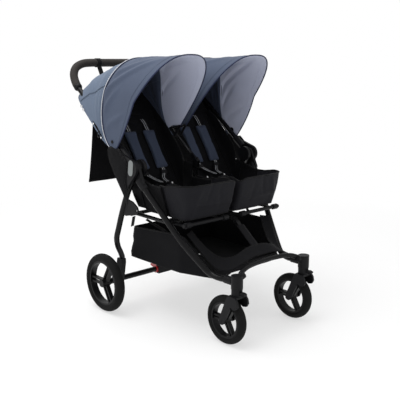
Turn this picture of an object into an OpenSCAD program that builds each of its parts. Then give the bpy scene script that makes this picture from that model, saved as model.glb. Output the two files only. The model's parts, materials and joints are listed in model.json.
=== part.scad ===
// Side-by-side twin stroller with a forward-folding frame.
// Millimetres, +Z up, the occupants face -Y, and their left is +X.
// The origin is on the ground, under the middle of the outline.

/* [Wheels] */
// Diameter of the rear tyres
rear_wheel_d = 262; // [250:1:270]
// Width of the rear tyres
rear_tyre_w = 44; // [36:1:48]
// Width over the outer faces of the rear tyres
overall_w = 745; // [743:1:760]
// Diameter of the front tyres
front_wheel_d = 199; // [190:1:204]
// Width of the front tyres
front_tyre_w = 42; // [34:1:43]

/* [Frame] */
// Outer diameter of the front and rear leg tubes
leg_tube_d = 25; // [20:1:26]
// Outer diameter of the handlebar tube
handle_tube_d = 22; // [18:1:23]
// Outer diameter of the foam grip
grip_d = 36; // [30:1:36]
// Diameter of the pins that the frame folds on
fold_pin_d = 12; // [8:1:14]

/* [Seats] */
// Thickness of a backrest
backrest_t = 28; // [20:1:30]
// Length of a backrest
backrest_len = 420; // [360:5:425]
// Angle of a backrest above the horizontal
backrest_angle = 57; // [55:1:60]

/* [Canopies] */
// Radius of the canopy crown about its pivot
canopy_r = 342; // [330:1:345]
// Thickness of the canopy panels
canopy_t = 3; // [2:0.5:3]
// Angle of the visor's rim about the pivot
visor_angle = 129; // [120:1:130]

/* [Hidden] */

// Radial clearance of a pin in its bore
fit_gap = 0.05;

// Wheels
rear_r = rear_wheel_d / 2;
front_r = front_wheel_d / 2;
rear_x = (overall_w - rear_tyre_w) / 2;
rear_axle_y = 229;
caster_x = 202;
caster_y = -443;
front_axle_y = -389;
rear_axle_r = 6;
front_axle_r = 4;

// The fold axis runs along X through this point
hub_y = 10;
hub_z = 670;
// Layers of the fold hinge, from the inside of the frame outwards
knob_in = 300;
leg_in = 314.5;
leg_out = 328;
knuckle_out = 340.5;
cover_in = 341;
cover_plate = 347;
cover_out = 359;

// Tubes
leg_r = leg_tube_d / 2;
handle_r = handle_tube_d / 2;
grip_r = grip_d / 2;
side_tube_x = 335;
// The handlebar's crossbar
bar_y = 490 - grip_r;
bar_z = 1089;

// Canopy pivot, on the side tube
pivot_y = 137;
pivot_z = 768;
canopy_out = 356;
canopy_in = 15;
rear_fold_angle = 41.5;
split_angle = 85;
visor_rise = 12;
canopy_pin_r = 3;

// Seats
seat_out = 309.5;
seat_in = 13;
seat_wall = 4.5;
seat_under = 474;
seat_top = 632;
// Half width of a seat's slanted side at height z, clear of the front tube
function seat_side(z) = min(seat_out, seat_out - 35 + 0.33 * (z - seat_under));
tub_out = 262;
tub_slant = 0.275;
hinge_y = 50;
hinge_z = 500;
calf_y = -139;
calf_z = 462;

// Routes of the bent tubes, for the left side, centre line points
front_tube_route = [
    [334, -28, 608], [302, -109, 502], [270, -189, 396], [242, -249, 328],
    [218, -302, 276], [207, -345, 263], [202, -385, 264], [202, -425, 265]];
rear_leg_route = [
    [327, 37, 626], [327, 79, 554], [327, 119, 468], [327, 148, 392],
    [326, 166, 345], [308, 184, 300], [283, 199, 262], [270, 207, 236], [270, 211, 214]];
side_route = [
    [335, 66, 713], [335, 240, 848], [335, 392, 965], [335, 432, 1001],
    [329, 456, 1038], [309, 468, 1068], [272, bar_y, 1085], [230, bar_y, bar_z],
    [180, bar_y, bar_z]];
side_steps = 4;
// The grip covers the handlebar from this point of its smoothed route
grip_from = 10;
arch_route = [
    [-188, -438, 281], [-150, -425, 298], [-95, -415, 306], [0, -410, 308],
    [95, -415, 306], [150, -425, 298], [188, -438, 281]];

// ---------- curves and solids that repeat ----------
function unit(v) = v / norm(v);
function at(p, i) = p[max(0, min(len(p) - 1, i))];
function spline(a, b, c, d, t) =
    0.5 * (2 * b + (c - a) * t + (2 * a - 5 * b + 4 * c - d) * t * t
        + (3 * b - a - 3 * c + d) * t * t * t);
// A smooth curve through the points of p, with n steps between each two
function smooth(p, n) = concat(
    [for (i = [0:len(p) - 2], k = [0:n - 1])
        spline(at(p, i - 1), p[i], p[i + 1], at(p, i + 2), k / n)],
    [p[len(p) - 1]]);
function tangent(p, i) = unit(at(p, i + 1) - at(p, i - 1));
function ring(c, t, side, r, n) =
    let (u = unit(cross(t, side)), v = cross(u, t))
    [for (k = [0:n - 1]) c + r * cos(360 * k / n) * u + r * sin(360 * k / n) * v];

// A round bar along the points of p; side is a direction the bar never takes
module bent_bar(p, r, side, n = 16) {
    m = len(p);
    pts = [for (i = [0:m - 1]) each ring(p[i], tangent(p, i), side, r, n)];
    faces = concat(
        [[for (k = [n - 1:-1:0]) k], [for (k = [0:n - 1]) (m - 1) * n + k]],
        [for (i = [0:m - 2], k = [0:n - 1])
            [i * n + k, i * n + (k + 1) % n, (i + 1) * n + (k + 1) % n, (i + 1) * n + k]]);
    polyhedron(pts, faces, convexity = 6);
}

// A hollow sleeve along the points of p
module bent_sleeve(p, r, bore, side, n = 16) {
    m = len(p);
    pts = concat(
        [for (i = [0:m - 1]) each ring(p[i], tangent(p, i), side, r, n)],
        [for (i = [0:m - 1]) each ring(p[i], tangent(p, i), side, bore, n)]);
    b = m * n;
    e = (m - 1) * n;
    faces = concat(
        [for (i = [0:m - 2], k = [0:n - 1])
            [i * n + k, i * n + (k + 1) % n, (i + 1) * n + (k + 1) % n, (i + 1) * n + k]],
        [for (i = [0:m - 2], k = [0:n - 1])
            [b + i * n + k, b + (i + 1) * n + k,
             b + (i + 1) * n + (k + 1) % n, b + i * n + (k + 1) % n]],
        [for (k = [0:n - 1]) [(k + 1) % n, k, b + k, b + (k + 1) % n]],
        [for (k = [0:n - 1]) [e + k, e + (k + 1) % n, b + e + (k + 1) % n, b + e + k]]);
    polyhedron(pts, faces, convexity = 8);
}

// A closed sheet between two grids of points, (rows + 1) x (cols + 1) each
module thick_sheet(top, under, rows, cols) {
    w = cols + 1;
    b = (rows + 1) * w;
    quads = concat(
        [for (i = [0:rows - 1], j = [0:cols - 1])
            [i * w + j, i * w + j + 1, (i + 1) * w + j + 1, (i + 1) * w + j]],
        [for (i = [0:rows - 1], j = [0:cols - 1])
            [b + i * w + j, b + (i + 1) * w + j, b + (i + 1) * w + j + 1, b + i * w + j + 1]],
        [for (j = [0:cols - 1]) [j + 1, j, b + j, b + j + 1]],
        [for (j = [0:cols - 1])
            [rows * w + j, rows * w + j + 1, b + rows * w + j + 1, b + rows * w + j]],
        [for (i = [0:rows - 1]) [i * w, (i + 1) * w, b + (i + 1) * w, b + i * w]],
        [for (i = [0:rows - 1])
            [(i + 1) * w + cols, i * w + cols, b + i * w + cols, b + (i + 1) * w + cols]]);
    polyhedron(concat(top, under),
        [for (q = quads) each [[q[0], q[1], q[2]], [q[0], q[2], q[3]]]], convexity = 8);
}

// A cylinder along X
module rod(x0, x1, y, z, r) {
    translate([x0, y, z]) rotate([0, 90, 0]) cylinder(h = x1 - x0, r = r, $fn = 48);
}

// Turns Z to direction d, from point p
module aim(p, d) {
    translate(p) rotate([0, acos(d[2] / norm(d)), atan2(d[1], d[0])]) children();
}

// A flat outline of [y, z] points, thick along X
module side_plate(x0, x1, outline) {
    translate([x0, 0, 0]) rotate([90, 0, 90]) linear_extrude(x1 - x0) polygon(outline);
}

// Draws a left-side part on the right side
module on_right() mirror([1, 0, 0]) children();

// Draws a part on both sides
module on_both() {
    children();
    mirror([1, 0, 0]) children();
}

// ---------- fixed frame ----------
module front_tube() {
    color("#1c1c1e") bent_bar(smooth(front_tube_route, 3), leg_r, [1, 0, 0], 20);
}

module front_arch() {
    color("#202022") bent_bar(smooth(arch_route, 3), 10, [0, 1, 0], 16);
}

module caster_housing() {
    color("#1a1a1c") difference() {
        union() {
            translate([caster_x, caster_y, 241]) cylinder(h = 53, r = 23.5, $fn = 64);
            translate([caster_x, caster_y + 20, 265]) rotate([-90, 0, 0])
                cylinder(h = 42, r = 16.5, $fn = 48);
            translate([caster_x - 7, caster_y + 2, 276]) rotate([0, -70, 0])
                cylinder(h = 34, r = 13, $fn = 48);
        }
        translate([caster_x, caster_y, 200]) cylinder(h = 82, r = 10 + fit_gap, $fn = 64);
    }
}

module seat_frame() {
    color("#202022") {
        rod(-287, 287, calf_y, calf_z, 10);
        rod(-299, 299, 95, 458, 8);
        on_both() translate([292, calf_y, calf_z]) rotate([-89, 0, 0])
            cylinder(h = 234, r = 8, $fn = 32);
        translate([0, calf_y, calf_z]) rotate([-89, 0, 0]) cylinder(h = 234, r = 8, $fn = 32);
        // bracket between the seats that holds the front of the basket
        side_plate(-9, 9, [
            [-139, 453], [-139, 471], [-190, 466], [-236, 452], [-262, 427], [-252, 417],
            [-226, 438], [-190, 450]]);
    }
}

module hinge_knuckle() {
    color("#222226") difference() {
        union() {
            rod(leg_out + 0.5, knuckle_out, hub_y, hub_z, 27);
            side_plate(leg_out + 0.5, knuckle_out, [
                [hub_y - 26, hub_z + 6], [hub_y + 8, hub_z - 26],
                [-22, 588], [-46, 612]]);
            aim([338, -14, 625], front_tube_route[1] - front_tube_route[0])
                cylinder(h = 46, r = 15.4, $fn = 40);
        }
        rod(300, 350, hub_y, hub_z, fold_pin_d / 2 + fit_gap);
    }
}

module hinge_pins() {
    color("#303034") on_both() {
        rod(knob_in, leg_in - 0.5, hub_y, hub_z, 34);
        rod(leg_in - 1, 346.6, hub_y, hub_z, fold_pin_d / 2);
    }
}

module centre_upright() {
    color("#202022") difference() {
        union() {
            bent_bar([[0, 50, 470], [0, 32, 560], [0, 16, 645]], 8, [1, 0, 0], 16);
            on_both() side_plate(4.6, 9, [
                [hub_y - 12, 640], [hub_y + 12, 640], [hub_y + 14, hub_z], [hub_y, hub_z + 14],
                [hub_y - 14, hub_z]]);
            rod(-9, 9, 17, 641, 9);
        }
        rod(-20, 20, hub_y, hub_z, 4 + fit_gap);
    }
    color("#404044") rod(-11, 11, hub_y, hub_z, 4);
}

// ---------- seats ----------
module seat() {
    color("#141416") {
        // pan and outer wing
        intersection() {
            side_plate(0, seat_out + 1, [
                [-118, seat_under], [36, seat_under], [36, 512], [62, 552], [62, seat_top],
                [44, seat_top], [10, 628], [-20, 618], [-60, 608], [-118, 606]]);
            translate([0, 100, 0]) rotate([90, 0, 0]) linear_extrude(260) polygon([
                [seat_in, seat_under], [seat_side(seat_under), seat_under], [seat_out, 580],
                [seat_out, seat_top], [seat_out - seat_wall, seat_top],
                [seat_out - seat_wall, 581], [seat_side(494) - seat_wall, 494], [seat_in, 494]]);
        }
        // inner wing
        side_plate(seat_in, seat_in + seat_wall, [
            [-118, seat_under], [36, seat_under], [36, 512], [60, 548], [54, 600],
            [-60, 596], [-118, 600]]);
    }
}

// Draws children in the backrest's plane: X across, Y up the back, Z out of its front
module on_backrest(lift = 0) {
    translate([0, hinge_y, hinge_z]) rotate([backrest_angle, 0, 0])
        translate([0, 0, lift]) children();
}

module backrest() {
    color("#141416") on_backrest() {
        translate([28, 10, -12]) cube([274, backrest_len - 10, backrest_t]);
        // round edge that the backrest turns on
        rotate([0, 90, 0]) translate([0, 0, 28]) cylinder(h = 274, r = 8, $fn = 40);
        translate([28, 0, -6]) cube([274, 14, 12]);
    }
    // cloth that closes the two sides, between the back and the side tube
    for (x = [28, 298.5]) color("#141416") side_plate(x, x + 3.5, [
        [80, 566], [62, 604], [64, 660], [84, 712], [140, 772], [200, 832], [250, 864],
        [268, 852]]);
}

// Panel that hangs behind the seat, from the top of its backrest
module seat_flap() {
    color("#101012") side_plate(14, 316, [
        [276, 862], [281, 858], [300, 876], [329, 911], [347, 754], [383, 561],
        [387, 561], [351, 755], [333, 919], [328, 919], [297, 880]]);
}

module shoulder_pads() {
    color("#46506a") on_backrest(backrest_t - 11.5) {
        for (x = [85, 187]) translate([x, 146, 0]) cube([48, 190, 15]);
    }
}

module harness_buckles() {
    color("#1a1a1c") on_both() translate([160, -8, 0]) {
        translate([-14, -3, 494.3]) cube([28, 4, 50]);
        translate([-23, -11, 540]) cube([46, 20, 46]);
    }
}

// Foot well in front of a seat
module tub(wall, top) {
    intersection_for (part = [0, 1])
        if (part == 0)
            side_plate(0, 400, [
                [-121 + 11 * wall / 5, 474 + wall], [-215 + wall * 0.8, 473 + wall],
                [-240 + wall, 540], [-260 + wall - 0.27 * (top - 618), top], [-121 + 11 * wall / 5, top]]);
        else
            translate([0, -100, 0]) rotate([90, 0, 0]) linear_extrude(200) polygon([
                [seat_in + wall, 470 + wall], [tub_out - tub_slant * 4 - wall, 470 + wall],
                [tub_out + tub_slant * (top - 474) - wall, top], [seat_in + wall, top]]);
}
module leg_rest() {
    color("#17171a") difference() {
        intersection() {
            tub(0, 618);
            side_plate(0, 400, [[-121, 460], [-280, 460], [-280, 618], [-200, 616], [-121, 606]]);
        }
        tub(5, 640);
    }
}

module leg_rest_bar() {
    color("#1b1b1d") difference() {
        union() {
            rod(34, 282, -224, 460, 8);
            for (x = [40, 246]) {
                rod(x, x + 26, -224, 460, 12);
                rod(x + 4, x + 20, calf_y, calf_z, 13);
                translate([x + 6, -222, 450]) cube([12, 80, 8]);
            }
        }
        rod(20, 300, calf_y, calf_z, 10 + fit_gap);
        translate([20, calf_y - 16, calf_z + 10.4]) cube([300, 40, 10]);
    }
}

// ---------- basket ----------
basket_out = [
    [-250, 190], [250, 190], [250, -150], [197, -305], [-197, -305], [-250, -150]];
basket_side = [
    [187, 241], [-100, 247], [-305, 251], [-300, 276], [-178, 402], [-96, 403], [156, 385]];
module basket_body(shrink, lift, top) {
    intersection() {
        translate([0, 0, 200]) linear_extrude(300) polygon([
            for (p = basket_out) [p[0] - sign(p[0]) * shrink, p[1] - sign(p[1] - 0.1) * shrink]]);
        side_plate(-260, 260, [
            [187 - shrink, 241 + lift], [-100, 247 + lift], [-305, 251 + lift],
            [-300, 276 + top], [-178, 402 + top], [-96, 403 + top], [156 - shrink, 385 + top]]);
    }
}
module basket() {
    color("#141417") difference() {
        basket_body(0, 0, 0);
        basket_body(4, 4, 60);
    }
}

// Border along the front tubes and the arch, around the basket's two front windows
apron_edge = [
    [247, -205, 420], [228, -247, 370], [208, -292, 318], [193, -337, 290],
    [170, -386, 297], [120, -402, 318], [60, -395, 327], [0, -392, 328]];
apron_lip = [
    [207, -188, 424], [188, -226, 378], [166, -272, 338], [150, -309, 325],
    [126, -342, 330], [92, -355, 345], [48, -352, 356], [0, -350, 358]];
module basket_apron() {
    half = len(apron_edge) - 1;
    edge = concat([for (p = apron_edge) p],
        [for (i = [half - 1:-1:0]) [-apron_edge[i][0], apron_edge[i][1], apron_edge[i][2]]]);
    lip = concat([for (p = apron_lip) p],
        [for (i = [half - 1:-1:0]) [-apron_lip[i][0], apron_lip[i][1], apron_lip[i][2]]]);
    back = [0, 2.5, -3];
    color("#17171a") {
        thick_sheet(concat(edge, lip), concat([for (p = edge) p + back], [for (p = lip) p + back]),
            1, len(edge) - 1);
        side_plate(-22, 22, [
            [-352, 355], [-263, 429], [-262, 425], [-350, 352]]);
    }
}

module basket_straps() {
    color("#121214") on_both() {
        hull() {
            translate([283, 84, 446]) cube([14, 6, 3]);
            translate([243, 150, 386.5]) cube([14, 6, 2]);
        }
        hull() {
            translate([283, -2, 449]) cube([14, 6, 3]);
            translate([243, -85, 405]) cube([14, 6, 2]);
        }
    }
}

// ---------- folding upper frame ----------
// The handlebar's centre line from point k of the left side round to the right side
function handle_path(k) =
    let (bend = smooth(side_route, side_steps), n = len(bend) - 1)
    concat([for (i = [k:n]) bend[i]],
        [for (i = [n:-1:k]) [-bend[i][0], bend[i][1], bend[i][2]]]);

module handlebar() {
    color("#242428") bent_bar(handle_path(0), handle_r, [0, -0.62, 0.785], 16);
}

module handle_grip() {
    color("#37332f") bent_sleeve(handle_path(grip_from), grip_r, handle_r + 0.6,
        [0, -0.62, 0.785], 16);
}

module hinge_cover() {
    color("#1e1e20") {
        difference() {
            union() {
                translate([cover_plate, 0, 0]) rotate([90, 0, 90]) linear_extrude(cover_out - cover_plate)
                    hull() {
                        translate([hub_y, hub_z]) circle(r = 36, $fn = 48);
                        translate([56, 588]) circle(r = 14, $fn = 32);
                        translate([148, 734]) circle(r = 15, $fn = 32);
                    }
                rod(cover_in, cover_plate + 1, hub_y, hub_z, 30);
                aim([side_tube_x, 48, 699], side_route[1] - side_route[0])
                    cylinder(h = 60, r = 15, $fn = 40);
            }
            rod(300, cover_plate, hub_y, hub_z, fold_pin_d / 2 + fit_gap);
        }
    }
}

module hinge_badges() {
    color("#8d9496") on_both() translate([cover_out + 0.1, 0, 0]) rotate([90, 0, 90])
        linear_extrude(1.4) hull() {
            translate([8, 690]) circle(r = 15, $fn = 32);
            translate([12, 655]) circle(r = 15, $fn = 32);
        }
}

module canopy_clips() {
    color("#18181a") {
        on_both() {
            rod(346.1, 347.7, pivot_y, pivot_z, 14);
            rod(346.1, 357, pivot_y, pivot_z, canopy_pin_r);
            rod(356.4, 358.4, pivot_y, pivot_z, 7);
        }
        rod(-26, 26, pivot_y, pivot_z, canopy_pin_r);
    }
}

// Outer point of a canopy at angle a about its pivot, s degrees round the arch
function crown(a, r0) =
    a <= split_angle ? r0 : (r0 + visor_rise * (a - split_angle) / (visor_angle - split_angle)) / sin(a);
// The hood is rounded in front and squarer towards the rear, 0 to 1
function squareness(a) = max(0, min(1, (54 - a) / (54 - rear_fold_angle)));
function bow(a, s, r, half) =
    let (x = pow(abs(cos(s)), 0.77 - 0.42 * squareness(a)),
         q = r * pow(sin(s), 0.59 - 0.24 * squareness(a)))
    [(canopy_out + canopy_in) / 2 + half * sign(cos(s)) * x,
     pivot_y + q * cos(a), pivot_z + q * sin(a)];
function arch_step(k, n) = 90 * (1 - cos(180 * (k + 0.5) / n));

// Canopy panel from angle a0 down to a1 about the pivot, inset from the outermost layer
module canopy_shell(a0, a1, rows, inset) {
    cols = 17;
    half = (canopy_out - canopy_in) / 2 - inset;
    function grid(dr) = [for (i = [0:rows], k = [0:cols])
        let (a = a0 + (a1 - a0) * i / rows)
        bow(a, arch_step(k, cols + 1), crown(a, canopy_r - inset) - dr, half - dr)];
    thick_sheet(grid(0), grid(canopy_t), rows, cols);
}

// Eye that turns on the canopy pin, at the foot of a side panel
module canopy_eye(x0, x1) {
    difference() {
        rod(x0, x1, pivot_y, pivot_z, 16);
        rod(x0 - 1, x1 + 1, pivot_y, pivot_z, canopy_pin_r + fit_gap);
    }
}

module canopy_rear() {
    color("#5b6a84") canopy_shell(split_angle, rear_fold_angle, 7, 5);
}

module canopy_front() {
    color("#4c5672") {
        canopy_shell(visor_angle, split_angle, 8, 0);
        canopy_eye(canopy_out - canopy_t, canopy_out);
        canopy_eye(canopy_in, canopy_in + canopy_t);
    }
}

module handle_straps() {
    x = 178;
    w = 24;
    color("#121214") on_both() {
        difference() {
            rod(x, x + w, bar_y, bar_z, grip_r + 2.6);
            rod(x - 1, x + w + 1, bar_y, bar_z, grip_r + 0.4);
        }
        side_plate(x, x + w, [
            [459, 1071.5], [461, 1069.5], [430, 1020], [364, 962], [362, 964], [428, 1022]]);
    }
}

module rear_cross_tube() {
    color("#242428") rod(-323.6, 323.6, 352, 948, 7);
}

module centre_post() {
    color("#242428") difference() {
        union() {
            rod(-4, 4, hub_y, hub_z, 13);
            side_plate(-4, 4, [
                [hub_y, hub_z + 12], [hub_y + 10, hub_z - 8], [52, 694], [42, 706]]);
            bent_bar([[0, 40, 693.5], [0, pivot_y, pivot_z], [0, 344, 940]], 7.5, [1, 0, 0], 16);
        }
        rod(-20, 20, hub_y, hub_z, 4 + fit_gap);
        rod(-30, 30, pivot_y, pivot_z, canopy_pin_r + 0.2);
        rod(-30, 30, 352, 948, 7.3);
    }
}

// ---------- rear frame ----------
module rear_leg() {
    color("#1c1c1e") difference() {
        union() {
            rod(leg_in, leg_out, hub_y, hub_z, 24);
            side_plate(leg_in, leg_out, [
                [hub_y - 10, hub_z - 21], [hub_y + 22, hub_z - 8], [52, 620], [28, 608]]);
            bent_bar(smooth(rear_leg_route, 3), leg_r, [1, 0, 0], 20);
        }
        rod(300, 350, hub_y, hub_z, fold_pin_d / 2 + fit_gap);
    }
}

module axle_brackets() {
    color("#161618") on_both() difference() {
        union() {
            hull() {
                translate([259, 194, 214]) cube([24, 34, 18]);
                translate([259, rear_axle_y, rear_r]) rotate([0, 90, 0])
                    cylinder(h = 24, r = 19, $fn = 32);
            }
            rod(282, rear_x - rear_tyre_w / 2 - 3, rear_axle_y, rear_r, 14);
        }
        rod(250, 360, rear_axle_y, rear_r, rear_axle_r + fit_gap);
    }
}

module rear_axle_bar() {
    color("#242428") rod(-258.6, 258.6, rear_axle_y, rear_r, leg_r);
}

module rear_axle_pins() {
    color("#8a8a8e") on_both() rod(259.2, rear_x + 18, rear_axle_y, rear_r, rear_axle_r);
}

module fold_links() {
    color("#1b1b1d") on_both() difference() {
        side_plate(325, 330, [
            [112, 500], [98, 536], [40, 524], [10, 506], [2, 488], [14, 474], [90, 456],
            [120, 462]]);
        rod(320, 335, 16, 489, 5);
        bent_bar(smooth(rear_leg_route, 3), leg_r + 0.3, [1, 0, 0], 20);
    }
}

module brake_housing() {
    color("#161618") difference() {
        translate([-59.5, 208, 112]) cube([95, 20, 38]);
        rod(-80, 80, rear_axle_y, rear_r, leg_r + fit_gap);
    }
}

module brake_pedal() {
    color("#a3161c") {
        difference() {
            rod(-66, 42, rear_axle_y, rear_r, 17.5);
            rod(-80, 80, rear_axle_y, rear_r, leg_r + fit_gap);
            translate([-60, rear_axle_y - 60, rear_r - 60]) cube([96, 60, 120]);
            translate([-60, rear_axle_y - 60, rear_r - 60]) cube([96, 120, 60]);
        }
        side_plate(-60, 36, [
            [rear_axle_y + 14, rear_r + 1], [rear_axle_y + 42, rear_r + 10],
            [rear_axle_y + 44, rear_r + 16], [rear_axle_y + 12, rear_r + 11]]);
    }
}

// ---------- wheels ----------
module tyre(r, w, rim_r) {
    shoulder = w * 0.42;
    rotate([0, 90, 0]) rotate_extrude($fn = 96) polygon(concat(
        [[rim_r, w / 2 - 5], [rim_r, -w / 2 + 5]],
        [for (a = [-90:15:90])
            [r - shoulder + shoulder * cos(a), w / 2 * sin(a)]]));
}

module rim(r, w, hub_r, hub_w, bore) {
    rotate([0, 90, 0]) difference() {
        union() {
            rotate_extrude($fn = 96) polygon([
                [r - 8, -w / 2 + 6], [r - 0.2, -w / 2 + 6], [r - 0.2, w / 2 - 6], [r - 8, w / 2 - 6]]);
            cylinder(h = hub_w, r = hub_r, center = true, $fn = 48);
            for (a = [90, 210, 330]) rotate([0, 0, a]) for (side = [-1, 1])
                translate([0, side * hub_r * 0.52 - 3.5, -w * 0.22])
                    cube([r - 5, 7, w * 0.44]);
        }
        cylinder(h = 200, r = bore, center = true, $fn = 48);
    }
}

rear_rim_r = rear_r - 31;
front_rim_r = front_r - 25;
module rear_tyre() {
    color("#19191a") translate([rear_x, rear_axle_y, rear_r]) tyre(rear_r, rear_tyre_w, rear_rim_r);
}
module rear_rim() {
    color("#151516") translate([rear_x, rear_axle_y, rear_r]) difference() {
        union() {
            rim(rear_rim_r, rear_tyre_w, 19, 36, rear_axle_r + fit_gap);
            // cap over the end of the axle
            rod(18.1, rear_tyre_w / 2, 0, 0, 17);
        }
        rod(-60, 18.6, 0, 0, rear_axle_r + fit_gap);
    }
}
module front_tyre() {
    color("#19191a") translate([caster_x, front_axle_y, front_r])
        tyre(front_r, front_tyre_w, front_rim_r);
}
module front_rim() {
    color("#151516") translate([caster_x, front_axle_y, front_r])
        rim(front_rim_r, front_tyre_w, 13, 40, front_axle_r + fit_gap);
}

// ---------- casters ----------
fork_arm = [
    [-462, 214], [-474, 200], [-478, 182], [-470, 168], [-452, 164], [-440, 172],
    [-404, 92], [-396, 87], [-384, 87], [-376, 94], [-377, 106], [-414, 196], [-424, 214]];
module caster_fork() {
    color("#18181a") difference() {
        union() {
            translate([caster_x, caster_y, 213]) cylinder(h = 68.5, r = 10, $fn = 64);
            translate([caster_x, caster_y, 205]) cylinder(h = 35, r = 22, $fn = 64);
            for (side = [-1, 1])
                side_plate(caster_x + side * 28.5 - 4.5, caster_x + side * 28.5 + 4.5, fork_arm);
            // bridge over the tyre
            translate([caster_x - 25, -464, 204.5]) cube([50, 42, 9.5]);
        }
        // room for the lock lever
        translate([caster_x - 8.5, -475, 219]) cube([17, 21.5, 15.5]);
    }
    color("#8a8a8e") rod(caster_x - 34, caster_x + 34, front_axle_y, front_r, front_axle_r);
}

module swivel_lock() {
    color("#1c1c1e") rod(caster_x - 8, caster_x + 8, -460, 226.5, 5);
    color("#1c1c1e") side_plate(caster_x - 8, caster_x + 8, [
        [-460, 222], [-460, 231], [-478, 233], [-488, 230], [-490, 226], [-488, 222], [-478, 220]]);
}

on_right() front_tube();  // front_tube_right
front_tube();  // front_tube_left
front_arch();
on_right() caster_housing();  // caster_housing_right
caster_housing();  // caster_housing_left
seat_frame();
on_right() hinge_knuckle();  // hinge_knuckle_right
hinge_knuckle();  // hinge_knuckle_left
hinge_pins();
centre_upright();
on_right() seat();  // seat_right
seat();  // seat_left
basket();
basket_apron();
basket_straps();
harness_buckles();
handlebar();
handle_grip();
on_right() hinge_cover();  // hinge_cover_right
hinge_cover();  // hinge_cover_left
hinge_badges();
canopy_clips();
on_right() canopy_rear();  // canopy_rear_right
canopy_rear();  // canopy_rear_left
handle_straps();
rear_cross_tube();
centre_post();
on_right() canopy_front();  // canopy_front_right
canopy_front();  // canopy_front_left
on_right() backrest();  // backrest_right
backrest();  // backrest_left
on_right() seat_flap();  // seat_flap_right
seat_flap();  // seat_flap_left
on_right() shoulder_pads();  // shoulder_pads_right
shoulder_pads();  // shoulder_pads_left
on_right() leg_rest();  // leg_rest_right
leg_rest();  // leg_rest_left
on_right() leg_rest_bar();  // leg_rest_bar_right
leg_rest_bar();  // leg_rest_bar_left
on_right() rear_leg();  // rear_leg_right
rear_leg();  // rear_leg_left
axle_brackets();
rear_axle_bar();
rear_axle_pins();
fold_links();
brake_housing();
brake_pedal();
on_right() rear_tyre();  // rear_tyre_right
rear_tyre();  // rear_tyre_left
on_right() rear_rim();  // rear_rim_right
rear_rim();  // rear_rim_left
on_right() front_tyre();  // front_tyre_right
front_tyre();  // front_tyre_left
on_right() front_rim();  // front_rim_right
front_rim();  // front_rim_left
on_right() caster_fork();  // caster_fork_right
caster_fork();  // caster_fork_left
on_right() swivel_lock();  // swivel_lock_right
swivel_lock();  // swivel_lock_left
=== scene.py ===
"""Twin stroller: canopies, seats, harnesses, basket and finishes around the packed frame."""
import json
import math

import bmesh
import bpy
from mathutils import Matrix, Vector, noise

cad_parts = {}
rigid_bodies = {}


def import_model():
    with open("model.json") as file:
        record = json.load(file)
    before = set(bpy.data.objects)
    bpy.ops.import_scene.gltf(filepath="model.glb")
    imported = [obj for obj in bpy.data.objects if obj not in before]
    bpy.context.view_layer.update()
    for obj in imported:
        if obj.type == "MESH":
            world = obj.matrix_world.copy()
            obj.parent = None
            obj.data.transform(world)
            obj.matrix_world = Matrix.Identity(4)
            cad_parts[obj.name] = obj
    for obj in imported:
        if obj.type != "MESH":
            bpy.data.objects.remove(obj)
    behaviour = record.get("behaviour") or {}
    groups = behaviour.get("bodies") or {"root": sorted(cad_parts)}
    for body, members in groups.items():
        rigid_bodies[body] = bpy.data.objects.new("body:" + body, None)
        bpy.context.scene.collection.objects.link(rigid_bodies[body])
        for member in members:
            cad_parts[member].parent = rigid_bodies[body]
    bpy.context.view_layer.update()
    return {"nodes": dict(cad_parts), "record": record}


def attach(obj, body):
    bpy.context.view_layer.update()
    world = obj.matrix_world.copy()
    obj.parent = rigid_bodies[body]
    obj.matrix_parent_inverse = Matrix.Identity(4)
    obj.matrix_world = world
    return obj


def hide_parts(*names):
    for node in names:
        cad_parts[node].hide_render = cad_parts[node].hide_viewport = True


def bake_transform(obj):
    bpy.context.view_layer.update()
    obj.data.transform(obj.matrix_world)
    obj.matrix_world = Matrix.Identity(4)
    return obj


for spare in list(bpy.data.objects):
    bpy.data.objects.remove(spare)
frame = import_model()

bl_info = {
    "name": "Twin stroller",
    "version": (1, 0, 0),
    "blender": (4, 5, 0),
    "location": "View3D > Sidebar > Stroller",
    "description": "Builds the soft goods, trim and finishes of a side-by-side twin stroller",
    "category": "Object",
}

MM = 0.001
SIDES = (("right", -1), ("left", 1))

# ---------------------------------------------------------------- sizes shared with the frame
PIVOT = Vector((0, 137, 768))
CANOPY_OUT, CANOPY_IN = 356.0, 15.0
CANOPY_R, VISOR_RISE = 342.0, 12.0
SPLIT, VISOR_END = 85.0, 129.0
BACK_HINGE = Vector((0, 50, 500))
BACK_ANGLE = math.radians(57)
BACK_LEN, BACK_T = 420.0, 28.0
BAR_Y, BAR_Z, GRIP_R = 472.0, 1089.0, 18.0
SIDE_ROUTE = [
    (335, 66, 713), (335, 240, 848), (335, 392, 965), (335, 432, 1001), (329, 456, 1038),
    (309, 468, 1068), (272, 472, 1085), (230, 472, 1089), (180, 472, 1089)]
SEAT_MID = 160.0


# ---------------------------------------------------------------- curves
def spline(a, b, c, d, t):
    return 0.5 * (2 * b + (c - a) * t + (2 * a - 5 * b + 4 * c - d) * t * t
                  + (3 * b - a - 3 * c + d) * t ** 3)


def smooth(points, steps):
    """A smooth curve through the points, with that many steps between each two."""
    p = [Vector(q) for q in points]
    out = []
    for i in range(len(p) - 1):
        a, b, c, d = p[max(i - 1, 0)], p[i], p[i + 1], p[min(i + 2, len(p) - 1)]
        out += [spline(a, b, c, d, k / steps) for k in range(steps)]
    return out + [p[-1]]


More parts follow.
